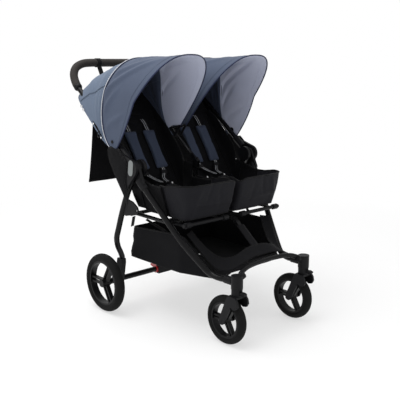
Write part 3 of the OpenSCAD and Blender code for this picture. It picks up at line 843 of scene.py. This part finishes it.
def build_back_sides(side, sign):
    """Cloth between the sides of a back and the side tubes, with a bound front edge."""
    edge = Path([(0, y, z) for y, z in SIDE_CLOTH], 6)
    for k, x in enumerate((29.8, 300.2)):
        inward, share = (-1, 1) if k else (1, 0.5)

        def place(u, v):
            p = edge.at(v).lerp(on_back(0, 4 + 408 * v, 2), u)
            bulge = 3.0 * math.sin(math.pi * u) * math.sin(9 * v) + 2.0 * ripple(p, 45, 4 + k)
            tuck = 14 * ease((u - 0.7) / 0.3)
            return Vector(((x + inward * (abs(bulge * share) + tuck)) * sign, p.y, p.z))
        o = cloth(f"back_side_cloth_{side}_{k}", 14, 44, place, (0.06, 0.36), 1.6, "seat",
                  "seat_fabric", f"back_{side}")
        line = Path([Vector((x * sign, p.y, p.z)) for p in edge.p], 0)
        bead(f"back_side_hem_{side}_{k}", line, 2.0, 60, "webbing", "seat_fabric", f"back_{side}")


HINGE_REAR = [(0, 160, 738), (0, 158, 700), (0, 116, 632), (0, 66, 566), (0, 34, 520)]
HINGE_FORE = [(0, 92, 744), (0, 58, 716), (0, 34, 690), (0, 42, 648), (0, 44, 600), (0, 24, 548)]


def build_hinge_cloths(side, sign):
    """Cloth that hangs over the back of each side hinge, with a bound edge and lacing loops."""
    dressing = ("seat_fabric", "upper_frame")
    rear, fore = Path(HINGE_REAR, 6), Path(HINGE_FORE, 6)

    def place(u, v):
        p = rear.at(v).lerp(fore.at(v), u)
        edge = 4 * u * (1 - u)
        x = 360.6 + 3.5 * edge ** 0.5 + 1.6 * ripple(p, 22, 5) * edge
        return Vector((x * sign, p.y, p.z))
    o = cloth(f"hinge_cloth_{side}", 18, 34, place, (0.09, 0.24), 1.4, "seat", *dressing)
    for k, line in enumerate((rear, fore)):
        pts = [Vector((361.2 * sign, q.y, q.z)) for q in line.p]
        bead(f"hinge_cloth_hem_{side}_{k}", Path(pts, 0), 1.9, 60, "webbing", *dressing)
    for k in range(4):
        p = fore.at(0.03 + 0.085 * k)
        ring = [Vector((362.5 * sign, p.y + 2 + 4.5 * math.cos(w), p.z - 4 + 4.5 * math.sin(w)))
                for w in [2 * math.pi * i / 8 for i in range(9)]]
        bead(f"lacing_loop_{side}_{k}", Path(ring, 0), 1.2, 20, "plastic", *dressing, sides=8,
             ends=False)


SEAT_REAR, SEAT_FRONT = 33, -117
SEAT_EDGE = [(0, -118, 606), (0, -60, 608), (0, -20, 618), (0, 10, 628), (0, 44, 632), (0, 62, 632)]
WING_EDGE = [(0, 66, 494), (0, 78, 545), (0, 76, 600), (0, 66, 638)]
INNER_WING_EDGE = [(0, 62, 500), (0, 84, 560), (0, 96, 610), (0, 98, 664)]


def seat_profile(y):
    """Cross-section of the seat sling at one place along it, from the inner to the outer edge."""
    inner = 596 + 4 * abs(y + 28) / 90
    outer = Path(SEAT_EDGE, 4)
    t = 0
    while t < 1 and outer.at(t).y < y:
        t += 0.02
    top = outer.at(t).z
    back = min(1.0, max(0.0, (y - 20) / 40))
    low = 480 + 60 * back
    return Path([(15.2, y, inner - 2), (15.6, y, 560), (16, y, max(510, low)), (26, y, low),
                 (90, y, low - 2), (190, y, low - 2), (264, y, low), (274 + 14 * back, y, low + 12),
                 (291 + 6 * back, y, 548), (306, y, 592), (307.2, y, top - 2)], 5)


def build_seat(side, sign):
    dressing = ("seat", "seat_fabric", "chassis")

    def place(u, v):
        p = seat_profile(SEAT_FRONT + (SEAT_REAR - SEAT_FRONT) * v).at(flipped(sign, u))
        puff = 1.2 * ripple(p, 42.0, 5.0) + 0.6 * ripple(p, 14.0, 2.0)
        return sided(sign, p + Vector((0, 0, puff)))
    o = cloth(f"seat_cloth_{side}", 56, 24, place, (0.50, 0.15), 3.0, *dressing, (f"seat_{side}",))
    # the wings behind the hinge, that close the sides of the seat
    low, far = Path([(0, 16, 494), (0, 16, 630)], 0), Path(WING_EDGE, 4)
    far_in = Path(INNER_WING_EDGE, 4)

    def wing(u, v):
        p = low.at(v).lerp(far.at(v), u)
        slant = min(307.0, 274.5 + 0.33 * (p.z - 474) - 2)
        return sided(sign, Vector((slant, p.y, p.z)))

    def inner_wing(u, v):
        p = Vector((0, 18, 500 + 160 * v)).lerp(far_in.at(v), u)
        return sided(sign, Vector((18.5 + 1.5 * ripple(p, 30, 3), p.y, p.z)))
    w = cloth(f"seat_wing_{side}", 10, 20, wing, (0.04, 0.13), 3.0, *dressing)
    inside = cloth(f"seat_inner_wing_{side}", 10, 20, inner_wing, (0.05, 0.13), 2.0, *dressing)
    outer, inner = ([seat_profile(y).at(t) for y in range(SEAT_FRONT, SEAT_REAR + 1, 10)]
                    for t in (1.0, 0.0))
    outer.append(Vector((307, 60, 630)))
    hems = [bead(f"seat_hem_{side}_{k}", route(sign, pts, 2), 2.4, 50, "webbing", "seat_fabric",
                 "chassis") for k, pts in enumerate((outer, inner))]


TUB_LOW, TUB_DEEP = 474, 144     # where the foot well's side starts, and how far it goes up
TUB_TOP, TUB_FLOOR = 616, 476
TUB_SIDE = 0.72                  # share of the cloth, from the rim down, that makes its sides


def ramp(x, start, length):
    return min(1.0, max(0.0, (x - start) / length))


def tub_outline(z):
    """Outline of the foot well at one height, from its inner back corner to its outer one."""
    k = (z - TUB_LOW) / TUB_DEEP
    front = -215 - 25 * min(1, k / 0.47) - 18 * max(0, (k - 0.47) / 0.53)
    out = 262 + 0.275 * (z - TUB_LOW) - 2.5
    r = 26 + 62 * max(k, 0.0) ** 1.3
    pts = [(19, -108, z), (18.5, -117, z), (15.5, -128, z), (15.5, front + 22, z),
           (20, front + 8, z), (34, front + 2.5, z), (110, front + 1.0, z),
           (out - r - 10, front + 2.0, z), (out - r * 0.45, front + r * 0.15, z),
           (out - r * 0.12, front + r * 0.48, z), (out, front + r + 10, z), (out, -130, z),
           (out - 2.5, -120, z), (out - 4, -92, z)]
    return Path(pts, 4)


def tub_pleats(k, t):
    """How far the folds in the foot well's side stand in, k down from its rim, t along it."""
    swell = math.sin(k * math.pi)
    return (-6.0 * bump(t, 0.60 + 0.10 * k, 0.022) * ease(k / 0.2)
            + 3.0 * bump(t - 0.07 * k, 0.50, 0.016) * ease((0.75 - k) / 0.3)
            + 2.2 * bump(t + 0.05 * k, 0.42, 0.02) * swell
            - 4.5 * bump(k, 0.66 - 0.1 * t, 0.06) * ease((t - 0.2) / 0.1) * ease((0.75 - t) / 0.1)
            + 2.4 * bump(t + 0.12 * k, 0.86, 0.03) * swell)


def build_foot_well(side, sign):
    dressing = ("seat_fabric", f"foot_{side}")

    def place(u, v):
        t = flipped(sign, u)
        if v < TUB_SIDE:
            k = v / TUB_SIDE
            p = tub_outline(TUB_TOP - (TUB_TOP - TUB_FLOOR) * k).at(t)
            rise = (1 - k) * (10 * ramp(-p.y, 130, 60) - 9
                              - 12 * bump(p.x, 12, 16) * ramp(-p.y, 200, 40))
            puff = 2.4 * ripple(p, 60.0, 8.0) + 1.0 * ripple(p, 22.0, 1.0)
            inward = Vector((140 - p.x, -170 - p.y, 0)).normalized()
            push = tub_pleats(k, t) - puff * math.sin(k * math.pi) + 1.6 * (1 - k)
            return sided(sign, p + inward * push + Vector((0, 0, rise)))
        k = (v - TUB_SIDE) / (1 - TUB_SIDE)
        p = tub_outline(TUB_FLOOR).at(t)
        core = Vector((138, max(-185.0, min(-124.0, p.y)), TUB_FLOOR + 2.0))
        sag = -1.5 * math.sin(k * math.pi) + 0.8 * ripple(p, 30, 4)
        return sided(sign, p.lerp(core, k) + Vector((0, 0, sag)))
    o = cloth(f"foot_well_cloth_{side}", 90, 40, place, (0.50, 0.24), 2.6, "tub", *dressing,
              (f"leg_rest_{side}",))
    hem, seam, low = (
        bead(f"foot_well_{name}_{side}", Path([place(i / 60, v) for i in range(61)], 0), r, 90,
             finish, *dressing)
        for name, v, r, finish in (("hem", 0.0, 3.2, "webbing"), ("seam", 0.12, 1.1, "tub"),
                                   ("piping", 0.71, 1.8, "webbing")))


FLAP_DROP = [(0, 278, 861), (0, 300, 881), (0, 328, 914), (0, 335, 890), (0, 349, 755),
             (0, 385, 563)]


def build_flap(side, sign):
    """Panel that hangs behind the seat from the top of its back."""
    drop = Path(FLAP_DROP, 6)

    def place(u, v):
        x = 15 + 300 * flipped(sign, u)
        p = drop.at(v)
        wave = ramp(v, 0.2, 0.4)
        y = p.y + wave * (1.6 * math.sin(x / 23.0 + 2 * v) + 1.2 * ripple((x, 0, p.z), 60, 2))
        return sided(sign, Vector((x, y - 0.5, p.z)))
    o = cloth(f"seat_flap_cloth_{side}", 40, 46, place, (0.30, drop.length * MM), 1.8, "seat",
              "seat_fabric", f"back_{side}", (f"seat_flap_{side}",))
    edge = [(15 + 10 * i, 385 - 0.5 + 1.6 * math.sin((15 + 10 * i) / 23.0 + 2), 568)
            for i in range(31)]
    hem = strap(f"flap_hem_{side}", route(sign, edge, 0), 16, (0, -0.18, 1), 3.4, 60)
    dress(hem, "seat", "seat_fabric", f"back_{side}")


# ---------------------------------------------------------------- harness
def build_pads():
    """Padded shoulder sleeves: one is puffed up, the others are copies of it."""
    o = block("shoulder_pad", (78, 148, 1.5), (140, 336, 12.5), bevel=5, cuts=3)
    inflate(o, voxel=4.0, cap=5.0, pressure=3.5)
    for v in o.data.vertices:
        x, a, z = v.co / MM
        edge = bump(x, 83, 1.6) + bump(x, 135, 1.6)
        z -= 1.4 * edge * (1 if z > 3 else 0)
        z += 0.8 * ripple((x, a, 0), 26.0, 6.0)
        v.co = on_back(x, a, BACK_T - 11.5 + min(max(z, 0.3), 15.5)) * MM
    first = True
    for side, sign in SIDES[::-1]:
        for k, dx in enumerate((0, 102)):
            name = f"shoulder_pad_{side}_{k}"
            if first:
                p, first = o, False
                p.name = p.data.name = name
            else:
                m = Matrix.Translation((dx * MM, 0, 0))
                p = copied(o, name, (MIRROR @ m) if sign < 0 else m, flip=sign < 0)
                for key in list(p.keys()):
                    del p[key]
            dress(p, "pad", "pad_fabric", f"back_{side}",
                  (f"shoulder_pads_{side}",) if k == 0 else ())


def striped(name, path, width, across, body, stripes=True):
    steps, thick = 30, 1.6
    dress(strap(name, path, width, across, thick, steps), "webbing", "webbing_black", body)
    if stripes:
        side = Vector(across).normalized()
        for k, off in enumerate((-width * 0.2, width * 0.2)):
            line = Path([path.at(i / steps) + side * off for i in range(steps + 1)], 0)
            thread = strap(f"{name}_stripe_{k}", line, 1.6, across, thick + 1.2, steps)
            dress(thread, "stripe", "webbing_black", body)


def build_harness(side, sign):
    back = f"back_{side}"
    for k, x in enumerate((109, 211)):
        top = [on_back(x, a, h) for a, h in
               ((334, 22), (352, 20.5), (374, 18.0), (392, 13), (402, 6))]
        striped(f"shoulder_web_{side}_{k}", route(sign, top), 26, (sign, 0, 0), back)
        low = (on_back(x, 152, 23), on_back(x, 130, 23), on_back((x + SEAT_MID) / 2, 96, 34),
               on_back(SEAT_MID + (x - SEAT_MID) * 0.3, 66, 62))
        striped(f"lower_web_{side}_{k}", route(sign, low), 24, (sign, 0, 0), back)
        # slider under each pad
        b = block(f"web_slider_{side}_{k}", (-15, -9, -2.4), (15, 9, 2.4), bevel=1.6)
        moved(b, sided(sign, on_back(x, 128, 24)), Matrix.Rotation(BACK_ANGLE, 4, "X"))
        dress(b, "plastic", "moulded_black", back, smooth_angle=40)
    for k, x in enumerate((52, 268)):
        inward, a = SEAT_MID - x, 40
        lap = (on_back(x, a, 17.5), on_back(x + inward * 0.3, a + 8, 28),
               on_back(x + inward * 0.72, a + 16, 52))
        striped(f"lap_web_{side}_{k}", route(sign, lap), 24, (0, 0.4, 1), back, stripes=False)
        stud(f"lap_stud_{side}_{k}", sided(sign, on_back(x + inward * 0.5, a + 24, 42)),
             (0, -0.8, 0.4), 4.5, "white", "moulded_black", back)
    # crotch strap and buckle
    crotch = route(sign, ((SEAT_MID, -6, 487), (SEAT_MID, -6, 520), (SEAT_MID, -3, 548)))
    dress(strap(f"crotch_web_{side}", crotch, 26, (1, 0, 0), 3.0, 16), "webbing",
          "webbing_black", "chassis")
    body = block(f"buckle_{side}", (138, -10, 541), (182, 8, 585), bevel=6, segments=4)
    button = turned(f"buckle_button_{side}", [(0, 3), (9, 2.6), (11, 1.2), (11, 0), (0, 0)],
                    steps=32)
    moved(button, (SEAT_MID, -10, 562), Matrix.Rotation(-math.pi / 2, 4, "Z"))
    both = join(f"buckle_{side}", [body, button])
    if sign < 0:
        both.data.transform(MIRROR)
        both.data.flip_normals()
    dress(both, "plastic", "moulded_black", "chassis",
          ("harness_buckles",) if sign > 0 else (), smooth_angle=40)


# ---------------------------------------------------------------- basket
def both_sides(pts):
    """Points of one side, then those of the other, that meet at the last one."""
    return pts + [(-x, y, z) for x, y, z in reversed(pts[:-1])]


RINGS = 24                         # outlines of the basket's side, from its top edge down
BASKET_SIDE, BASKET_FLOOR = 0.6, 245     # share of the cloth in the sides; height of the floor


def basket_ring(k):
    """Outline of the basket, k from 0 at its top edge to 1 at its floor."""
    y_back = 153 + 31 * k
    half = [(247, 0, 0), (246, -140, 0), (238, -175, 0), (198, -292, 0), (180, -300, 0)]
    back = [(-247, 0, 0), (-247, y_back - 22, 0), (-240, y_back - 4, 0), (-222, y_back, 0)]
    front = both_sides(half + [(0, -302, 0)])
    return Path(both_sides(back + [(0, y_back + 1, 0)])[:-1] + front, 3)


def basket_top(y):
    """Height of the basket's top edge."""
    if y > -96:
        return 403 - 18 * (y + 96) / 252
    if y > -178:
        return 402
    return 402 - 126 * (-178 - y) / 122


def build_basket():
    rings = [basket_ring(i / RINGS) for i in range(RINGS + 1)]

    def place(u, v):
        k = min(v / BASKET_SIDE, 1.0)
        p = rings[round(k * RINGS)].at(1 - u)
        inward = Vector((-p.x, -40 - p.y, 0)).normalized()
        if v < BASKET_SIDE:
            top = basket_top(p.y) - 1.5
            z = top + (BASKET_FLOOR - top) * k
            deep = max(0.0, top - 300) / 100
            swell = math.sin(k * math.pi)
            push = 3.0 * swell * deep + 1.6 * ripple((p.x, p.y, z), 55, 3)
            return p + inward * (3.2 * k * k + push * swell) + Vector((0, 0, z))
        k = (v - BASKET_SIDE) / (1 - BASKET_SIDE)
        p = p + inward * 3.2
        core = Vector((p.x * 0.02, max(-230.0, min(110.0, p.y)), 0))
        q = p.lerp(core, k)
        sag = 2.6 * math.sin(k * math.pi / 2) - 1.5 * ripple(q, 60, 9)
        return q + Vector((0, 0, BASKET_FLOOR + 1 - sag))
    o = grid("basket_cloth", 132, 50, place, (1.72, 0.40))
    select(o)
    edit_mesh(("remove_doubles", {"threshold": 2e-4}))
    thicken(o, 2.4)
    dress(o, "basket", "basket_fabric", "chassis", ("basket",))
    hem, piping = (bead(name, Path([place(i / 120, v) for i in range(121)], 0), r, 160, "webbing",
                        "basket_fabric", "chassis")
                   for name, v, r in (("basket_hem", 0.0, 3.0),
                                      ("basket_piping", BASKET_SIDE, 1.8)))


APRON_EDGE = [(247, -205, 420), (228, -247, 370), (208, -292, 318), (193, -337, 290),
              (170, -386, 297), (120, -402, 318), (60, -395, 327), (0, -392, 328)]
APRON_LIP = [(207, -188, 424), (188, -226, 378), (166, -272, 338), (150, -309, 325),
             (126, -342, 330), (92, -355, 345), (48, -352, 356), (0, -350, 358)]


def build_apron():
    edge, lip = Path(both_sides(APRON_EDGE), 6), Path(both_sides(APRON_LIP), 6)
    below = Vector((0, 1.2, -1.5))

    def place(u, v):
        p = lip.at(u).lerp(edge.at(u), v)
        return p + below + Vector((0, 0, 0.8 * ripple(p, 30, 5) - 1.5 * math.sin(v * math.pi)))
    o = cloth("basket_apron_cloth", 120, 8, place, (0.95, 0.045), 2.4, "basket", "basket_fabric",
              "chassis", ("basket_apron",))
    hem = bead("apron_hem", Path([lip.at(i / 120) + below for i in range(121)], 0), 2.4, 140,
               "webbing", "basket_fabric", "chassis")
    strip = Path([(0, -351, 354), (0, -318, 380), (0, -263, 426)], 6)
    belt = dress(strap("basket_centre_strap", strip, 40, (1, 0, 0), 2.4, 24), "basket",
                 "basket_fabric", "chassis")


BASKET_STRAPS = (((290, 87, 447.5), (250, 153, 387)), ((290, 1, 450.5), (250, -82, 405)))
LABEL = ((336.6, 97, 516), (336.6, 119, 468), (336.6, 143, 405))
LOOP_X, LOOP_R = 190, 19.6
LOOP_FALL = ((190, 459.5, 1071), (190, 430, 1021), (190, 398, 992), (190, 363, 963))


def build_straps():
    for side, sign in SIDES:
        for k, pts in enumerate(BASKET_STRAPS):
            s = strap(f"basket_strap_{side}_{k}", route(sign, pts, 2), 14, (1, 0, 0), 2.2, 8)
            dress(s, "webbing", "webbing_black", "chassis",
                  ("basket_straps",) if (side == "left" and k == 0) else ())
        # blank label band down the outside of the rear leg
        band = strap(f"leg_label_{side}", route(sign, LABEL, 4), 11, (0, 1, 0.45), 0.8, 12)
        dress(band, "badge", "badge_grey", "rear_frame")
        loop = [(LOOP_X, BAR_Y + LOOP_R * math.cos(a), BAR_Z + LOOP_R * math.sin(a))
                for a in [2 * math.pi * i / 40 for i in range(41)]]
        one = strap(f"handle_loop_{side}", route(sign, loop, 0), 24, (1, 0, 0), 1.8, 60)
        two = strap("fall", route(sign, LOOP_FALL), 24, (1, 0, 0), 2.0, 24)
        dress(join(f"handle_loop_{side}", [one, two]), "webbing", "webbing_black",
              "upper_frame", ("handle_straps",) if sign > 0 else ())


# ---------------------------------------------------------------- frame trim
GRIP_FROM = 10        # the point of the side route's curve where the foam starts
COLLAR = [(11.3, 0), (17.6, 0), (18.2, 2), (17.8, 10), (15.5, 15), (12, 17), (11.3, 17)]


def build_handle():
    curve = smooth(SIDE_ROUTE, 4)
    half = [tuple(p) for p in curve[GRIP_FROM:]]
    grip = Path(half + [(-x, y, z) for x, y, z in reversed(half)], 0)

    def swell(t):
        end = min(t, 1 - t) * grip.length
        return 1.0 if end > 6 else 0.86 + 0.14 * math.sqrt(max(end, 0) / 6)
    bead("handle_foam", grip, GRIP_R, 220, "foam", "grip_foam", "upper_frame", ("handle_grip",),
         sides=28, profile=swell)
    p = curve[GRIP_FROM]
    for side, sign in SIDES:
        d = sided(sign, curve[GRIP_FROM - 1] - p).normalized()
        c = moved(turned(f"grip_collar_{side}", COLLAR), sided(sign, p), turn_from_x(d))
        dress(c, "plastic", "moulded_black", "upper_frame", smooth_angle=40)


def finish_frame():
    """Gives every node of the frame its finish, welded for show and shaded smooth."""
    by_node = {}
    for sub in frame["record"]["subparts"]:
        by_node[sub["node"]] = sub.get("material_slot")
    for name, o in frame["nodes"].items():
        finish = MATS[SLOT_FINISH.get(by_node.get(name), "plastic")]
        if o.data.materials:
            for i in range(len(o.data.materials)):
                o.data.materials[i] = finish
        else:
            o.data.materials.append(finish)
        for poly in o.data.polygons:
            poly.use_smooth = True
        w = o.modifiers.new("Weld", "WELD")
        w.merge_threshold = 2e-5
        e = o.modifiers.new("Edges", "EDGE_SPLIT")
        e.split_angle = math.radians(32)


# ---------------------------------------------------------------- stage
CAMERA_AT = (-1.9407, -2.1198, 1.0988)
CAMERA_TURN, CAMERA_DIP = math.radians(42.669), math.radians(11.927)


def build_stage(p):
    scene = bpy.context.scene
    scene.view_settings.view_transform = "Standard"
    cam = bpy.data.cameras.new("camera")
    cam.lens, cam.sensor_width = p.lens, 36
    o = bpy.data.objects.new("camera", cam)
    scene.collection.objects.link(o)
    look = Vector((math.sin(CAMERA_TURN) * math.cos(CAMERA_DIP),
                   math.cos(CAMERA_TURN) * math.cos(CAMERA_DIP), -math.sin(CAMERA_DIP)))
    o.location = CAMERA_AT
    o.rotation_euler = look.to_track_quat("-Z", "Y").to_euler()
    scene.camera = o
    clear()
    bpy.ops.mesh.primitive_plane_add(size=30)
    floor = bpy.context.object
    floor.name = "floor"
    m, n, b = material("pale floor", Base_Color=(0.90, 0.90, 0.90, 1), Roughness=0.75,
                       Specular_IOR_Level=0.15)
    # the floor runs into the white backdrop
    at = n.add("ShaderNodeTexCoord").outputs["Object"]
    far = n.add("ShaderNodeVectorMath", {0: at}, operation="LENGTH").outputs["Value"]
    fade = n.add("ShaderNodeMapRange", {"Value": far, "From Min": 0.9, "From Max": 2.6,
                                        "To Min": 0.55}).outputs[0]
    glow = n.add("ShaderNodeEmission", {"Strength": 1.0}).outputs[0]
    both = n.add("ShaderNodeMixShader", {0: fade, 1: b.outputs[0], 2: glow}).outputs[0]
    n.t.links.new(both, n.t.nodes["Material Output"].inputs[0])
    floor.data.materials.append(m)
    world = bpy.data.worlds.new("studio")
    world.use_nodes = True
    n = Nodes(world.node_tree)
    backdrop = n.t.nodes["Background"]
    backdrop.inputs[0].default_value = (1, 1, 1, 1)
    # the backdrop is seen white, and lights the scene more softly
    seen = n.add("ShaderNodeLightPath").outputs["Is Camera Ray"]
    level = n.add("ShaderNodeMapRange", {"Value": seen, "To Min": p.sky, "To Max": 1.0})
    n.t.links.new(level.outputs[0], backdrop.inputs[1])
    scene.world = world
    for name, at, size, power in (
            ("overhead", (-0.7, 0.5, 3.4), 2.6, p.overhead),
            ("left fill", (-3.2, -0.2, 1.8), 2.2, p.fill),
            ("front fill", (0.6, -3.4, 1.6), 2.4, p.fill * 0.8),
            ("back rim", (1.2, 3.0, 2.6), 2.0, p.fill * 0.7)):
        light = bpy.data.lights.new(name, "AREA")
        light.energy, light.size = power, size
        lo = bpy.data.objects.new(name, light)
        scene.collection.objects.link(lo)
        lo.location = at
        lo.rotation_euler = (Vector((0, 0, 0.55)) - Vector(at)).to_track_quat("-Z", "Y").to_euler()


# ---------------------------------------------------------------- the add-on's classes
def colour(label, doc, value):
    return bpy.props.FloatVectorProperty(name=label, description=doc, subtype="COLOR",
                                         default=value)


def number(label, doc, value, **extra):
    return bpy.props.FloatProperty(name=label, description=doc, default=value, **extra)


class StrollerSettings(bpy.types.PropertyGroup):
    canopy_colour: colour("Canopy", "Colour of the rear canopy panels", (0.112, 0.142, 0.196))
    visor_colour: colour("Visor", "Colour of the front canopy panels", (0.062, 0.078, 0.118))
    pad_colour: colour("Pads", "Colour of the shoulder pads", (0.040, 0.050, 0.078))
    seat_colour: colour("Seats", "Colour of the seat cloth", (0.0035, 0.0035, 0.0042))
    lens: number("Lens", "Focal length of the camera", 59.4, unit="CAMERA")
    sky: number("Sky", "Strength of the even studio light", 0.62)
    overhead: number("Overhead", "Power of the overhead light", 92.0)
    fill: number("Fill", "Power of the side lights", 18.0)


def settings():
    return bpy.context.scene.stroller


def operator(idname, label, doc, job):
    """One operator class that runs one job."""
    def execute(self, context):
        job()
        return {"FINISHED"}
    return type("STROLLER_OT_" + idname, (bpy.types.Operator,), {
        "bl_idname": "stroller." + idname, "bl_label": label, "__doc__": doc, "execute": execute})


def per_side(fn):
    return lambda: [fn(side, sign) for side, sign in SIDES]


OPERATORS = [
    operator("stage", "Stage", "Camera, floor and lights", lambda: build_stage(settings())),
    operator("finishes", "Finishes", "All materials, and the frame's own finishes",
             lambda: (build_materials(settings()), finish_frame())),
    operator("canopies", "Canopies", "Both hoods with their visors, piping and zips",
             per_side(build_canopy)),
    operator("backrests", "Backrests", "The padded backs", build_backrests),
    operator("back_sides", "Sides of the backs", "Cloth beside the backs",
             per_side(build_back_sides)),
    operator("hinge_cloths", "Hinge cloths", "Cloth over the side hinges",
             per_side(build_hinge_cloths)),
    operator("seats", "Seats", "The seat slings", per_side(build_seat)),
    operator("foot_wells", "Foot wells", "The cloth foot wells", per_side(build_foot_well)),
    operator("flaps", "Rear flaps", "The panels behind the seats", per_side(build_flap)),
    operator("pads", "Shoulder pads", "The padded sleeves on the harness", build_pads),
    operator("harness", "Harness", "Webbing, sliders and buckles", per_side(build_harness)),
    operator("basket", "Basket", "The basket and its front border",
             lambda: (build_basket(), build_apron())),
    operator("straps", "Straps", "Hanging straps and handle loops", build_straps),
    operator("handle", "Handle", "The foam grip and its collars", build_handle),
]


class STROLLER_PT_panel(bpy.types.Panel):
    """Lists the stroller's steps and settings."""
    bl_label = "Twin stroller"
    bl_idname = "STROLLER_PT_panel"
    bl_space_type = "VIEW_3D"
    bl_region_type = "UI"
    bl_category = "Stroller"

    def draw(self, context):
        for key in StrollerSettings.__annotations__:
            self.layout.prop(settings(), key)
        for op in OPERATORS:
            self.layout.operator(op.bl_idname)


CLASSES = [StrollerSettings, *OPERATORS, STROLLER_PT_panel]


def register():
    for c in CLASSES:
        bpy.utils.register_class(c)
    bpy.types.Scene.stroller = bpy.props.PointerProperty(type=StrollerSettings)


def unregister():
    del bpy.types.Scene.stroller
    for c in reversed(CLASSES):
        bpy.utils.unregister_class(c)


def main():
    register()
    for op in OPERATORS:
        getattr(bpy.ops.stroller, op.bl_idname.split(".")[1])()
    clear()


if __name__ == "__main__":
    main()
